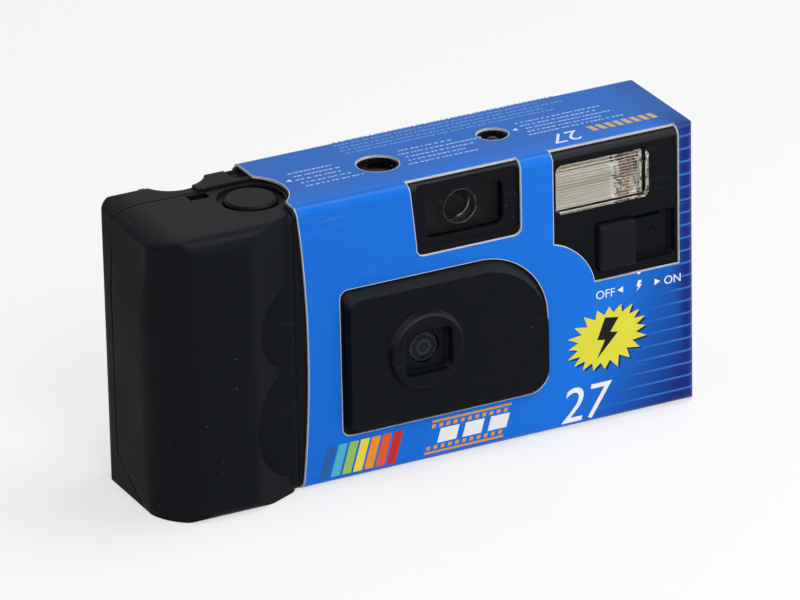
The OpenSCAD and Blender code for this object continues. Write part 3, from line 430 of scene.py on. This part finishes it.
# %% [markdown]
# The sleeve is white board, printed and coated on the outside only, so every cut edge shows white.
# The material measures how deep a point lies under the outer skin of the folded box: at the skin it
# is print, and anywhere deeper it is bare board. Two materials on chosen faces could do this too, but the
# faces of the solid don't have to follow the print.

# %% Card: skin and cuts
mat, t, sh = material("printed_card")
where = add(t, "TexCoord")
cut = add(t, "SeparateXYZ")
link(t, where.outputs["Object"], cut.inputs[0])
PER_METRE = 1000.0
x, y, z = (calc(t, "MULTIPLY", cut.outputs[k], PER_METRE) for k in range(3))
FOLD_R, PRINT_DEEP = 2.1, 0.07
MID_Y, HALF_Y, HALF_Z = (FRONT + BACK) / 2, (BACK - FRONT) / 2, TOP / 2
qx = calc(t, "MAXIMUM", calc(t, "SUBTRACT", x, RIGHT - FOLD_R), 0.0)
qy = calc(t, "SUBTRACT", calc(t, "ABSOLUTE", calc(t, "SUBTRACT", y, MID_Y)), HALF_Y - FOLD_R)
qz = calc(t, "SUBTRACT", calc(t, "ABSOLUTE", calc(t, "SUBTRACT", z, HALF_Z)), HALF_Z - FOLD_R)
qy = calc(t, "MAXIMUM", qy, 0.0)
qz = calc(t, "MAXIMUM", qz, 0.0)
skin = calc(t, "MAXIMUM", far(t, qy, qz), far(t, qx, qy))
skin = calc(t, "GREATER_THAN", skin, FOLD_R - PRINT_DEEP)
print("print reaches", PRINT_DEEP, "mm into the card")

# %% [markdown]
# The print is a blue field that darkens to the right past a slanted edge, with fine pale lines that fade in
# there and run round the end. A picture could carry it, but it would blur close up, so each colour is worked
# out from where the point lies on the box, in millimetres.

# %% Card: printed blue
# distance to the right of the slanted edge, which counts for more near the end
FIELD_FOOT, FIELD_SLANT, END_FROM, END_STEEP = 40.9, 0.479, 54.0, 4.0
LINE_PITCH, LINE_SHIFT = 2.74, 0.37
field = calc(t, "SUBTRACT", x, calc(t, "ADD", FIELD_FOOT, calc(t, "MULTIPLY", z, FIELD_SLANT)))
field = calc(t, "MAXIMUM", field, calc(t, "MULTIPLY", calc(t, "SUBTRACT", x, END_FROM), END_STEEP))
dark = ramp(t, field, -12.0, 12.0)
lines = calc(t, "FRACT", calc(t, "ADD", calc(t, "DIVIDE", z, LINE_PITCH), LINE_SHIFT))
lines = calc(t, "ABSOLUTE", calc(t, "SUBTRACT", lines, 0.5))
lines = calc(t, "MULTIPLY", ramp(t, lines, 0.095, 0.06), ramp(t, field, -3.5, 6.0))
lines = calc(t, "MULTIPLY", lines, calc(t, "LESS_THAN", y, FRONT + 7.0))
cloud = add(t, "TexNoise", in_Scale=24.0, in_Detail=3.0)
link(t, where.outputs["Object"], cloud.inputs["Vector"])
blue = mix(t, ramp(t, x, -30.0, 25.0), srgb(15, 104, 208), srgb(17, 111, 217))
blue = mix(t, ramp(t, cloud.outputs["Fac"], 0.35, 0.7, 0, 0.25), blue, srgb(20, 114, 216))
blue = mix(t, dark, blue, srgb(14, 40, 116))
lid = calc(t, "MULTIPLY", ramp(t, z, TOP - 0.7, TOP - 0.1),
           ramp(t, y, FRONT + 1.0, FRONT + 9.0, 0.2, 0.8))
blue = mix(t, lid, blue, srgb(24, 92, 172))
blue = mix(t, calc(t, "MULTIPLY", lines, 0.75), blue, srgb(56, 118, 208))
print("pale lines every", LINE_PITCH, "mm")

# %% [markdown]
# Bare board is a mat of fibres, seen only at the cuts. The print over it has a thin gloss, a few rubbed
# hairlines, and the slight waves of card that isn't held everywhere. The waves are too shallow for the
# mesh, so they are a bump.

# %% Card: board, gloss and waves
fibre = add(t, "TexNoise", in_Scale=900.0, in_Detail=4.0)
link(t, where.outputs["Object"], fibre.inputs["Vector"])
board = mix(t, ramp(t, fibre.outputs["Fac"], 0.35, 0.65), (0.80, 0.79, 0.75), (0.66, 0.65, 0.61))
rub = place(t, SCUFF, Scale=60.0, Amount=0.12)
blue = mix(t, calc(t, "MULTIPLY", rub.outputs["Mask"], 0.5), blue, (0.5, 0.6, 0.8))
link(t, mix(t, skin, board, blue), sh.inputs["Base Color"])
link(t, ramp(t, skin, 0, 1, 0.85, 0.33), sh.inputs["Roughness"])
sag = add(t, "TexNoise", in_Scale=38.0, in_Detail=1.0)
link(t, where.outputs["Object"], sag.inputs["Vector"])
height = calc(t, "ADD", sag.outputs["Fac"], calc(t, "MULTIPLY", fibre.outputs["Fac"], 0.012))
bump = add(t, "Bump", in_Strength=0.5, in_Distance=0.0006)
link(t, height, bump.inputs["Height"])
link(t, bump.outputs[0], sh.inputs["Normal"])
sh.inputs["Specular IOR Level"].default_value = 0.10
dress("card_sleeve", mat, angle=25)
print("sleeve printed")

# %% [markdown]
# The plain clear pieces are the finder's eyepiece, the counter window and the flash tube. Glass keeps a
# plain transmission here, and only its tint and roughness change a little over the surface.

# %% Clear pieces


def clear(name, tint, rough, ior):
    mat, t, sh = material(name)
    haze = add(t, "TexNoise", in_Scale=300.0, in_Detail=2.0)
    pos = add(t, "TexCoord")
    link(t, pos.outputs["Object"], haze.inputs["Vector"])
    link(t, ramp(t, haze.outputs["Fac"], 0.4, 0.7, rough, rough + 0.05), sh.inputs["Roughness"])
    link(t, mix(t, haze.outputs["Fac"], tint, tuple(min(1, c * 1.03) for c in tint)), sh.inputs["Base Color"])
    sh.inputs["Transmission Weight"].default_value = 1.0
    sh.inputs["IOR"].default_value = ior
    return mat


PANE = clear("clear_pane", (0.93, 0.95, 0.96), rough=0.02, ior=1.22)
for n in ("finder_eyepiece", "counter_window", "flash_tube"):
    dress(n, PANE)
print("clear pieces done")

# %% [markdown]
# Three clear pieces show more than a plain pane: the taking lens, the front of the finder and the flash
# window. What they show lies at a distance from the middle of the piece, so one helper starts the material
# with that distance along each axis, in millimetres, and a fine noise to break up what is drawn from it.

# %% Helper for the lens, the finder and the flash
LENS_IOR = 1.16


def axes(name, measured):
    mat, t, sh = material(name + "_clear")
    pos = add(t, "TexCoord")
    cut = add(t, "SeparateXYZ")
    link(t, pos.outputs["Object"], cut.inputs[0])
    a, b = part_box(measured)
    mid = [(a[k] + b[k]) / 2 for k in range(3)]
    off = [calc(t, "MULTIPLY", calc(t, "SUBTRACT", cut.outputs[k], mid[k]), PER_METRE) for k in range(3)]
    half = [(b[k] - a[k]) / 2 / MM for k in range(3)]
    noise = add(t, "TexNoise", in_Scale=1100.0, in_Detail=2.0)
    link(t, pos.outputs["Object"], noise.inputs["Vector"])
    sh.inputs["IOR"].default_value = LENS_IOR
    return mat, t, sh, off, half, noise.outputs["Fac"]


print("helper ready, index", LENS_IOR)

# %% [markdown]
# The taking lens shows rings where its surfaces reflect each other. Several shells of glass could do that,
# but they need many bounces of light, so the rings are a wave of the distance from the middle, in the tint.

# %% Taking lens
mat, t, sh, off, _, noise = axes("taking_lens", "taking_lens")
away = calc(t, "ADD", far(t, off[0], off[2]), calc(t, "MULTIPLY", noise, 0.9))
rings = ramp(t, calc(t, "SINE", calc(t, "MULTIPLY", away, 4.4)), -0.2, 1.0)
link(t, mix(t, rings, (0.016, 0.019, 0.024), (0.055, 0.065, 0.08)), sh.inputs["Base Color"])
link(t, ramp(t, noise, 0.3, 0.7, 0.03, 0.12), sh.inputs["Roughness"])
sh.inputs["Transmission Weight"].default_value = 0.45
dress("taking_lens", mat, angle=40)
print("taking lens done")

# %% [markdown]
# The finder's front is a clear moulding that one looks through into the tunnel. Only its tint and roughness
# vary a little, because glass has to stay plain for the export.

# %% Finder front
mat, t, sh, _, _, noise = axes("finder_front", "finder_front")
link(t, mix(t, noise, (0.80, 0.84, 0.88), (0.84, 0.87, 0.90)), sh.inputs["Base Color"])
sh.inputs["Transmission Weight"].default_value = 1.0
link(t, ramp(t, noise, 0.3, 0.7, 0.02, 0.07), sh.inputs["Roughness"])
dress("finder_front", mat)
print("finder front done")

# %% [markdown]
# The small lens in the finder has a moulded rim, and on it a few painted glints. Glass can't be partly
# opaque here, so the rim is a thin tube of its own round the small lens. Its colour is a painted highlight,
# bright where a noise says so, mostly at the lower right.

# %% Finder rim
mat, t, sh, off, _, noise = axes("finder_rim", "finder_front")
lower = ramp(t, calc(t, "SUBTRACT", off[0], off[2]), 1.6, 3.8, 0.12, 1.0)
# painted highlight: bright metal colour where the noise and the lower-right side meet, standing in for glints
painted_rim_glint = calc(t, "MULTIPLY", ramp(t, noise, 0.44, 0.56), lower)
link(t, mix(t, painted_rim_glint, (0.07, 0.075, 0.085), (0.92, 0.93, 0.95)), sh.inputs["Base Color"])
link(t, ramp(t, noise, 0.3, 0.7, 0.12, 0.3), sh.inputs["Roughness"])
sh.inputs["Metallic"].default_value = 1.0
near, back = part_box("finder_front")
RIM_IN, RIM_OUT, STEPS = 3.53, 3.62, 64
rim_x, rim_z = (near[0] + back[0]) / 2, (near[2] + back[2]) / 2
rim_front, rim_back = near[1] + 1.3 * MM, back[1] - 0.1 * MM
section = ((RIM_IN, rim_front), (RIM_OUT, rim_front), (RIM_OUT, rim_back), (RIM_IN, rim_back))
verts, faces = [], []
for k in range(STEPS):
    a = 2 * math.pi * k / STEPS
    for r, depth in section:
        verts.append((rim_x + r * MM * math.cos(a), depth, rim_z + r * MM * math.sin(a)))
    j = (k + 1) % STEPS
    faces += [(4 * k + i, 4 * k + (i + 1) % 4, 4 * j + (i + 1) % 4, 4 * j + i) for i in range(4)]
rim_mesh = bpy.data.meshes.new("finder_rim")
rim_mesh.from_pydata(verts, [], faces)
rim_mesh.materials.append(mat)
rim_piece = bpy.data.objects.new("finder_rim", rim_mesh)
scene.collection.objects.link(rim_piece)
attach(rim_piece, "camera")
print("finder rim:", len(faces), "faces")

# %% [markdown]
# The flash window is clear and ribbed, and frosted along its edge. An opaque layer could be mixed in, but
# the glass would no longer be plain, so the frost is roughness alone, in a band inside the edge.

# %% Flash window
mat, t, sh, off, half, noise = axes("flash_window", "flash_window")
edge = calc(t, "MAXIMUM", calc(t, "SUBTRACT", calc(t, "ABSOLUTE", off[0]), half[0]),
            calc(t, "SUBTRACT", calc(t, "ABSOLUTE", off[2]), half[2]))
FROSTED = 0.55
rim = ramp(t, edge, -0.42, -0.28, 0.0, FROSTED)
link(t, mix(t, rim, (0.97, 0.96, 0.93), (0.86, 0.85, 0.82)), sh.inputs["Base Color"])
sh.inputs["Transmission Weight"].default_value = 1.0
frost = ramp(t, rim, 0, FROSTED, 0.0, 0.7)
link(t, calc(t, "ADD", frost, ramp(t, noise, 0.3, 0.7, 0.02, 0.08)), sh.inputs["Roughness"])
dress("flash_window", mat)
print("flash window done")

# %% [markdown]
# Inside there is metal: springs, brass contacts, and the lacquered cans of the film cartridge and the
# battery. Brushed lines would be far too many to draw, so they are a stretched noise in the roughness.

# %% Metals


def metal(name, colour, rough, stretch=(1, 1, 20), metallic=1.0):
    mat, t, sh = material(name)
    pos = add(t, "TexCoord")
    m = add(t, "Mapping")
    m.inputs["Scale"].default_value = stretch
    link(t, pos.outputs["Object"], m.inputs["Vector"])
    n = add(t, "TexNoise", in_Scale=500.0, in_Detail=3.0)
    link(t, m.outputs[0], n.inputs["Vector"])
    link(t, ramp(t, n.outputs["Fac"], 0.3, 0.7, rough - 0.06, rough + 0.08), sh.inputs["Roughness"])
    link(t, mix(t, n.outputs["Fac"], colour, tuple(c * 0.86 for c in colour)), sh.inputs["Base Color"])
    sh.inputs["Metallic"].default_value = metallic
    return mat


STEEL, BRASS = (0.56, 0.57, 0.59), (0.72, 0.55, 0.25)
for n in ("shutter_spring", "button_spring", "drive_lever"):
    dress(n, metal(n + "_steel", STEEL, 0.3))
dress("cartridge_caps", metal("cartridge_caps_steel", STEEL, 0.3, stretch=(20, 20, 20)))
dress("shutter_blade", metal("blade_black", (0.03, 0.03, 0.032), 0.5, metallic=0.6))
for n in ("switch_contact", "battery_contacts"):
    dress(n, metal(n + "_brass", BRASS, 0.28))
dress("cartridge_shell", metal("cartridge_lacquer", (0.05, 0.17, 0.08), 0.34, metallic=0.3))
dress("battery", metal("cell_lacquer", (0.5, 0.33, 0.1), 0.3, metallic=0.5))
print("metals done")

# %% [markdown]
# The film and the flash circuit are film base, board, tape, wire and a shrunk sleeve. Each could have a tree
# of its own, but at this size they differ in colour, gloss and grain alone, so the plastic function does.

# %% Film and flash circuit
dress("film_roll", plastic("film_edge", (0.07, 0.05, 0.042), 0.25, grain=0.6, scale=400.0))
dress("film_strip", plastic("film_face", (0.10, 0.07, 0.06), 0.18, grain=0.05))
dress("circuit_board", plastic("board_green", (0.02, 0.11, 0.04), 0.35))
dress("transformer", plastic("coil_tape", (0.42, 0.3, 0.08), 0.4))
dress("trigger_coil", plastic("coil_wire", (0.32, 0.13, 0.04), 0.35, grain=0.8, scale=900.0))
dress("capacitor", plastic("cap_sleeve", (0.012, 0.014, 0.045), 0.28))
dress("ready_lamp", plastic("lamp_amber", (0.018, 0.007, 0.005), 0.2, scuff=0.0, spec=0.2))
print("inner pieces done")

# %% [markdown]
# The button's spring is squeezed when the button goes down, which a solid can't do. Here a copy of the coil
# is made, with its placement built into its mesh, and the solid coil is hidden.

# %% Button spring
coil = bpy.data.objects.new("button_coil", nodes["button_spring"].data.copy())
scene.collection.objects.link(coil)
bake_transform(coil)
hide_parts("button_spring")

# %% [markdown]
# Behind the ribbed window the flash shows two faces. The left one is the satin side of the reflector, warm
# and evenly streaked, which a noise stretched along the length gives. A value along the length, slanted with
# the depth, tells the two faces apart, so one material can serve both.

# %% Reflector: satin side
mat, t, sh = material("reflector_foil")
pos = add(t, "TexCoord")
cut = add(t, "SeparateXYZ")
link(t, pos.outputs["Object"], cut.inputs[0])
flash_lo, flash_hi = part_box("flash_window")
FOIL_SLANT = 0.5
deep = calc(t, "SUBTRACT", cut.outputs["Y"], flash_lo[1])
slant = calc(t, "SUBTRACT", cut.outputs["X"], calc(t, "MULTIPLY", deep, FOIL_SLANT))
along = ramp(t, slant, flash_lo[0], flash_hi[0])
streak_place = add(t, "Mapping")
streak_place.inputs["Scale"].default_value = (0.05, 1.0, 1.0)
link(t, pos.outputs["Object"], streak_place.inputs["Vector"])
streaks = add(t, "TexNoise", in_Scale=900.0, in_Detail=2.0)
link(t, streak_place.outputs[0], streaks.inputs["Vector"])
satin = mix(t, ramp(t, streaks.outputs["Fac"], 0.35, 0.65), (0.60, 0.57, 0.49), (0.50, 0.47, 0.39))
print("satin side done")

# %% [markdown]
# The right face is the reflector's bright end, which breaks into small glints. A mirror would show only the
# white room, so its reflection is painted: a row of colour stops gives what it reflects, with ragged borders,
# and a cell texture paints some glints brighter and some darker.

# %% Reflector: bright end with painted reflection
ragged = add(t, "TexNoise", in_Scale=750.0, in_Detail=2.0)
link(t, pos.outputs["Object"], ragged.inputs["Vector"])
RAGGED = 0.12
jog = calc(t, "MULTIPLY", calc(t, "SUBTRACT", ragged.outputs["Fac"], 0.5), RAGGED)
spot = calc(t, "ADD", along, jog)
PAINTED_END_REFLECTION = ((0.56, (0.95, 0.95, 0.93)), (0.61, (0.90, 0.90, 0.88)), (0.63, (0.05, 0.06, 0.06)),
              (0.69, (0.22, 0.15, 0.11)), (0.74, (0.42, 0.20, 0.09)),
              (0.80, (0.66, 0.58, 0.48)), (0.92, (0.72, 0.70, 0.62)))
painted_reflection = add(t, "ValToRGB")
for k, (stop_at, rgb) in enumerate(PAINTED_END_REFLECTION):
    stop = painted_reflection.color_ramp.elements[k] if k < 2 else painted_reflection.color_ramp.elements.new(stop_at)
    stop.position = stop_at
    stop.color = (*rgb, 1)
link(t, spot, painted_reflection.inputs[0])
glints = add(t, "TexVoronoi", in_Scale=1300.0)
link(t, pos.outputs["Object"], glints.inputs["Vector"])
shade = add(t, "SeparateColor")
link(t, glints.outputs["Color"], shade.inputs[0])
# painted glints: a cell texture makes some spots of the painted reflection brighter and some darker
painted_end_glints = mix(t, calc(t, "GREATER_THAN", shade.outputs[0], 0.82), painted_reflection.outputs[0], (0.88, 0.88, 0.85))
painted_end_glints = mix(t, calc(t, "LESS_THAN", shade.outputs[0], 0.2), painted_end_glints, (0.06, 0.06, 0.055))
bright = ramp(t, along, 0.565, 0.575)
tone = mix(t, bright, satin, painted_end_glints)
link(t, tone, sh.inputs["Base Color"])
link(t, ramp(t, bright, 0, 1, 0.5, 0.25), sh.inputs["Roughness"])
sh.inputs["Metallic"].default_value = 0.25
dress("flash_reflector", mat)
print("reflector done")

# %% [markdown]
# The floor is a plain pale sheet. It could be lit until it turns white, but that light would fall on the
# object too, so part of it glows for the camera and for reflections alone, and the rest keeps the shadow.

# %% Floor finish
FLOOR_GLOW = 0.62
mat, t, sh = material("pale_floor")
pos = add(t, "TexCoord")
n = add(t, "TexNoise", in_Scale=3.0)
link(t, pos.outputs["Object"], n.inputs["Vector"])
link(t, mix(t, n.outputs["Fac"], (0.86, 0.86, 0.86), (0.88, 0.88, 0.88)), sh.inputs["Base Color"])
sh.inputs["Roughness"].default_value = 0.7
end = [k for k in t.nodes if k.type == "OUTPUT_MATERIAL"][0]
rays = add(t, "LightPath")
shine = add(t, "Emission")
blend = add(t, "MixShader")
show = calc(t, "MAXIMUM", rays.outputs["Is Camera Ray"], rays.outputs["Is Glossy Ray"])
show = calc(t, "MULTIPLY", show, FLOOR_GLOW)
link(t, show, blend.inputs[0])
link(t, sh.outputs[0], blend.inputs[1])
link(t, shine.outputs[0], blend.inputs[2])
link(t, blend.outputs[0], end.inputs["Surface"])
floor.data.materials.append(mat)
print("floor done")

# %% [markdown]
# The small print is ink on the card. It could be part of the card's material, but letters and pointed shapes
# are hard to write as nodes, so each ink is one thin flat mesh. It lies a few hundredths of a millimetre off
# the front, and less off the top, where it may hardly add to the height.

# %% Ink and flat sheets
# how far the ink stands off the card, in mm
LIFT = 0.03
TOP_LIFT = 0.005
INK_SHINE = 0.12


def ink(name, colour, rough=0.34):
    mat, t, sh = material(name)
    pos = add(t, "TexCoord")
    n = add(t, "TexNoise", in_Scale=260.0, in_Detail=3.0)
    link(t, pos.outputs["Object"], n.inputs["Vector"])
    link(t, mix(t, n.outputs["Fac"], colour, tuple(c * 0.9 for c in colour)), sh.inputs["Base Color"])
    link(t, ramp(t, n.outputs["Fac"], 0.3, 0.7, rough - 0.04, rough + 0.06), sh.inputs["Roughness"])
    sh.inputs["Specular IOR Level"].default_value = INK_SHINE
    return mat


def off_front(lift):
    def where(u, v):
        return (u * MM, (FRONT - lift) * MM, v * MM)
    return where


def on_top(u, v):
    return (u * MM, v * MM, (TOP + TOP_LIFT) * MM)


def lay(name, mesh, mat):
    mesh.materials.append(mat)
    ob = bpy.data.objects.new(name, mesh)
    scene.collection.objects.link(ob)
    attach(ob, "camera")
    return ob


def sheet_of(name, polygons, where, mat):
    verts, faces = [], []
    for poly in polygons:
        faces.append(list(range(len(verts), len(verts) + len(poly))))
        verts += [where(u, v) for u, v in poly]
    mesh = bpy.data.meshes.new(name)
    mesh.from_pydata(verts, [], faces)
    bm = bmesh.new()
    bm.from_mesh(mesh)
    bmesh.ops.triangulate(bm, faces=bm.faces)
    want = Vector(where(0, 1)) - Vector(where(0, 0))
    normal = Vector((0, -1, 0)) if abs(want.z) > 0 else Vector((0, 0, 1))
    for f in bm.faces:
        f.normal_update()
        if f.normal.dot(normal) < 0:
            f.normal_flip()
    bm.to_mesh(mesh)
    bm.free()
    lay(name, mesh, mat)


on_front, under_burst, on_burst = (off_front(k * LIFT) for k in (1, 0.4, 1.6))
INK_WHITE = ink("ink_white", (0.86, 0.88, 0.9))
INK_YELLOW = ink("ink_yellow", srgb(226, 219, 66))
INK_BLACK = ink("ink_black", (0.008, 0.008, 0.01))
print("inks ready")

# %% [markdown]
# Letters come from Blender's built-in font. A text object could stay as it is, but as a mesh the letters can
# be shifted, turned and joined with other shapes of the same ink, so its polygons are read as flat points
# and the text object is removed.

# %% Letters


def letters(text, size, shear=0.0):
    curve = bpy.data.curves.new("ink_letters", "FONT")
    curve.body = text
    curve.size = size
    curve.shear = shear
    curve.resolution_u = 6
    ob = bpy.data.objects.new("ink_letters", curve)
    scene.collection.objects.link(ob)
    mesh = bpy.data.meshes.new_from_object(ob.evaluated_get(bpy.context.evaluated_depsgraph_get()))
    flat = [(v.co.x, v.co.y) for v in mesh.vertices]
    polys = [[flat[i] for i in p.vertices] for p in mesh.polygons]
    bpy.data.objects.remove(ob)
    return polys


def moved(polys, u, v, turn=0.0):
    c, s = math.cos(math.radians(turn)), math.sin(math.radians(turn))
    return [[(u + c * a - s * b, v + s * a + c * b) for a, b in p] for p in polys]


print("letters ready")

# %% [markdown]
# A punched card shows a pale line along every cut, where the blade broke the ink. The edges to mark are
# those between the printed skin and a cut wall, so they can be read from the sleeve's own mesh: each
# gets a narrow strip laid on the skin, mitred where two edges meet.

# %% Pale lines along the cuts
WELD, SKIN_DEEP, FRONT_EXTRA, CUT_WIDTH = 1e-6, 0.06, 0.012, 0.12


def depth_in(p):
    qx = max(p.x / MM - (RIGHT - FOLD_R), 0)
    qy = max(abs(p.y / MM - MID_Y) - (HALF_Y - FOLD_R), 0)
    qz = max(abs(p.z / MM - HALF_Z) - (HALF_Z - FOLD_R), 0)
    return FOLD_R - max(math.hypot(qy, qz), math.hypot(qx, qy))


def in_box(p):
    low, high = cad_box
    return [min(max(p[k], low[k] - TOP_LIFT * MM), high[k] + TOP_LIFT * MM) for k in range(3)]


def edge_strips(name, width, mat):
    bm = bmesh.new()
    bm.from_mesh(nodes["card_sleeve"].data)
    bmesh.ops.remove_doubles(bm, verts=bm.verts, dist=WELD)
    skin = {f: depth_in(f.calc_center_median()) < SKIN_DEEP for f in bm.faces}
    inward, normals, pairs = {}, {}, []
    for e in bm.edges:
        if len(e.link_faces) != 2 or skin[e.link_faces[0]] == skin[e.link_faces[1]]:
            continue
        f = e.link_faces[0] if skin[e.link_faces[0]] else e.link_faces[1]
        a, b = e.verts
        across = f.normal.cross(b.co - a.co).normalized()
        if across.dot(f.calc_center_median() - a.co) < 0:
            across = -across
        pairs.append((a, b))
        for v in (a, b):
            inward.setdefault(v, []).append(across)
            normals.setdefault(v, []).append(f.normal.copy())
    mesh = bpy.data.meshes.new(name)
    verts, faces, place_of = [], [], {}
    for v, dirs in inward.items():
        n = sum(normals[v], Vector()).normalized()
        mean = sum(dirs, Vector())
        mean = (mean - n * mean.dot(n)).normalized()
        grow = 1 / max(0.5, mean.dot(dirs[0]))
        lift = n * (TOP_LIFT + FRONT_EXTRA * max(0, -n.y)) * MM
        place_of[v] = len(verts)
        for p in (v.co + lift, v.co + lift + mean * (width * grow * MM)):
            verts.append(in_box(p))
    for a, b in pairs:
        i, j = place_of[a], place_of[b]
        faces.append((i, j, j + 1, i + 1))
    mesh.from_pydata(verts, [], faces)
    bm.free()
    bm = bmesh.new()
    bm.from_mesh(mesh)
    middle = Vector(((LEFT + RIGHT) / 2, MID_Y, HALF_Z)) * MM
    for f in bm.faces:
        f.normal_update()
        if f.normal.dot(f.calc_center_median() - middle) < 0:
            f.normal_flip()
    bm.to_mesh(mesh)
    bm.free()
    return lay(name, mesh, mat)


cuts = edge_strips("print_cut_edges", CUT_WIDTH, ink("bare_board", (0.70, 0.72, 0.74), 0.6))
print("cut edges:", len(cuts.data.polygons), "strips")

# %% [markdown]
# The front carries a yellow starburst with a bolt, over a dark shade of the same outline. A star has two
# radii, one for its points and one for the dips. Here each point also gets a slightly different length, so
# that the star looks drawn and not turned out by a machine.

# %% Starburst and bolt
BURST_AT, SHADE_AT, BURST_TURN = (39.3, 18.1), (39.75, 17.65), 19
BURST_WIDE, BURST_TALL, POINTS, DIP = 9.2, 6.7, 20, 0.74
burst = []
random.seed(4)
for k in range(2 * POINTS):
    a = math.radians(180 / POINTS * k)
    r = 1.0 + random.uniform(-0.06, 0.1) if k % 2 == 0 else DIP
    burst.append((BURST_WIDE * r * math.cos(a), BURST_TALL * r * math.sin(a)))
navy = ink("ink_navy", srgb(12, 40, 110))
sheet_of("print_burst_shade", moved([burst], *SHADE_AT, BURST_TURN), under_burst, navy)
sheet_of("print_starburst", moved([burst], *BURST_AT, BURST_TURN), on_front, INK_YELLOW)
bolt = [(-1.2, 4.3), (1.9, 4.3), (0.5, 1.2), (2.3, 1.2), (-1.6, -4.6), (-0.4, -0.5), (-2.2, -0.5)]
sheet_of("print_bolt", moved([bolt], *BURST_AT, -10), on_burst, INK_BLACK)
print("starburst with", POINTS, "points")

# %% [markdown]
# White ink marks the switch and gives the number of pictures. Words, arrows and the windows of the film strip
# below are polygons alike, so all the white of the front is one mesh. The windows lean, so a helper makes a
# leaning bar from its corner, width, height and lean.

# %% White marks
MARK_SIZE, MARK_FOOT, MARK_MID, SMALL_BOLT = 2.5, 26.8, 27.8, 0.27
row = moved(letters("OFF", MARK_SIZE), 36.8, MARK_FOOT) + moved(letters("ON", MARK_SIZE), 52.2, MARK_FOOT)
row += [[(41.7, MARK_MID), (43.0, 27.1), (43.0, 28.5)], [(51.4, MARK_MID), (50.1, 28.5), (50.1, 27.1)]]
row += moved([[(a * SMALL_BOLT, b * SMALL_BOLT) for a, b in bolt]], 46.6, MARK_MID, -8)
row += [[(46.0, 30.75), (47.2, 30.75), (46.6, 30.2)]]
row += moved(letters("27", 10.6, 0.2), 28.4, 1.4)


def leaning(u, v, w, h, lean=0.3):
    return [(u, v), (u + w, v), (u + w + lean * h, v + h), (u + lean * h, v + h)]


row += [leaning(0.4 + 5.6 * k + 0.6, 3.7, 4.2, 3.0) for k in range(3)]
sheet_of("print_white", row, on_front, INK_WHITE)
print(len(row), "white shapes on the front")

# %% [markdown]
# Below the lens panel lies a small strip of film, with its edges and holes in orange, and at the left a row of
# colour bars. Both are made of the same leaning bars. Each colour is an ink, and so a mesh of its own.

# %% Film strip and colour bars
film = [leaning(-2.0, 1.7, 17.6, 0.45), leaning(0.0, 8.25, 17.6, 0.45)]
film += [leaning(-1.5 + 1.6 * k + 0.3 * step, 2.55 + step, 0.8, 0.75)
         for k in range(11) for step in (0.0, 4.55)]
sheet_of("print_film", film, on_front, ink("ink_orange", srgb(236, 158, 40)))
bars = [(38, 96, 170), (80, 178, 205), (150, 196, 92), (240, 218, 66),
        (240, 150, 46), (232, 92, 42), (206, 44, 40)]
for k, rgb in enumerate(bars):
    bar = leaning(-25.0 + 2.45 * k, 1.6, 1.95, 6.6)
    sheet_of("print_bar_%d" % k, [bar], on_front, ink("ink_bar_%d" % k, srgb(*rgb)))
print(len(film), "orange shapes and", len(bars), "colour bars")

# %% [markdown]
# The rows of small type on the top of the sleeve are read only as a texture, so they are drawn as
# fine broken dashes in blocks: beside the two holes, and in a wide block along the back. Each block sets
# its own random seed, so every run draws the same dashes.

# %% Top print
small, fine_rows, marks = [], [], []


def dash_block(target, u0, u1, v0, rows, pitch, tall, seed):
    random.seed(seed)
    for k in range(rows):
        u = u0 + random.uniform(0, 1.2)
        stop = u1 - random.uniform(0, 0.3 * (u1 - u0))
        v = v0 - k * pitch
        while u < stop:
            w = random.uniform(0.35, 0.95)
            target.append([(u, v), (u + w, v), (u + w, v + tall), (u, v + tall)])
            u += w + random.choice((0.22, 0.22, 0.55))


dash_block(small, -22.3, -8.6, FRONT + 16.5, 5, 1.75, 0.45, 1)
dash_block(small, 0.8, 19.5, FRONT + 16.3, 5, 1.75, 0.45, 2)
dash_block(small, 28.2, 51.6, FRONT + 17.3, 5, 1.6, 0.45, 3)
marks += [[(-24.0, FRONT + 13.6), (-22.9, FRONT + 13.0), (-22.9, FRONT + 14.2)]]
marks += [[(26.4, FRONT + 14.8), (27.5, FRONT + 14.2), (27.5, FRONT + 15.4)]]
marks += moved(letters("27", 6.4, 0.15), 37.6, FRONT + 8.8, 180)
dash_block(fine_rows, -8.4, 55.0, FRONT + 26.2, 5, 1.5, 0.5, 5)
sheet_of("print_top_marks", marks, on_top, ink("ink_soft_white", srgb(214, 226, 244)))
sheet_of("print_top_type", small, on_top, ink("ink_pale_blue", srgb(160, 190, 234)))
sheet_of("print_top_rows", fine_rows, on_top, ink("ink_pale", srgb(104, 146, 208)))
gold = [leaning(40.4 + 1.9 * k, FRONT + 6.6, 1.2, 2.6, -0.2) for k in range(8)]
sheet_of("print_top_gold", gold, on_top, ink("ink_gold", srgb(196, 168, 110)))
print(len(small) + len(marks), "marks and", len(fine_rows), "dashes on the top")

# %% [markdown]
# Last, the box of the solids and the box of the dressed model are set side by side, and the largest
# difference between them is printed. The finish may not make the object bigger.

# %% Finish
size = {"cad": [list(map(float, v)) for v in cad_box], "visual": [list(map(float, v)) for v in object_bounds()]}
grown = max(abs(size["visual"][s][k] - size["cad"][s][k]) for s in range(2) for k in range(3))
print("the visual box differs from the CAD box by", round(grown / MM, 3), "mm at most")
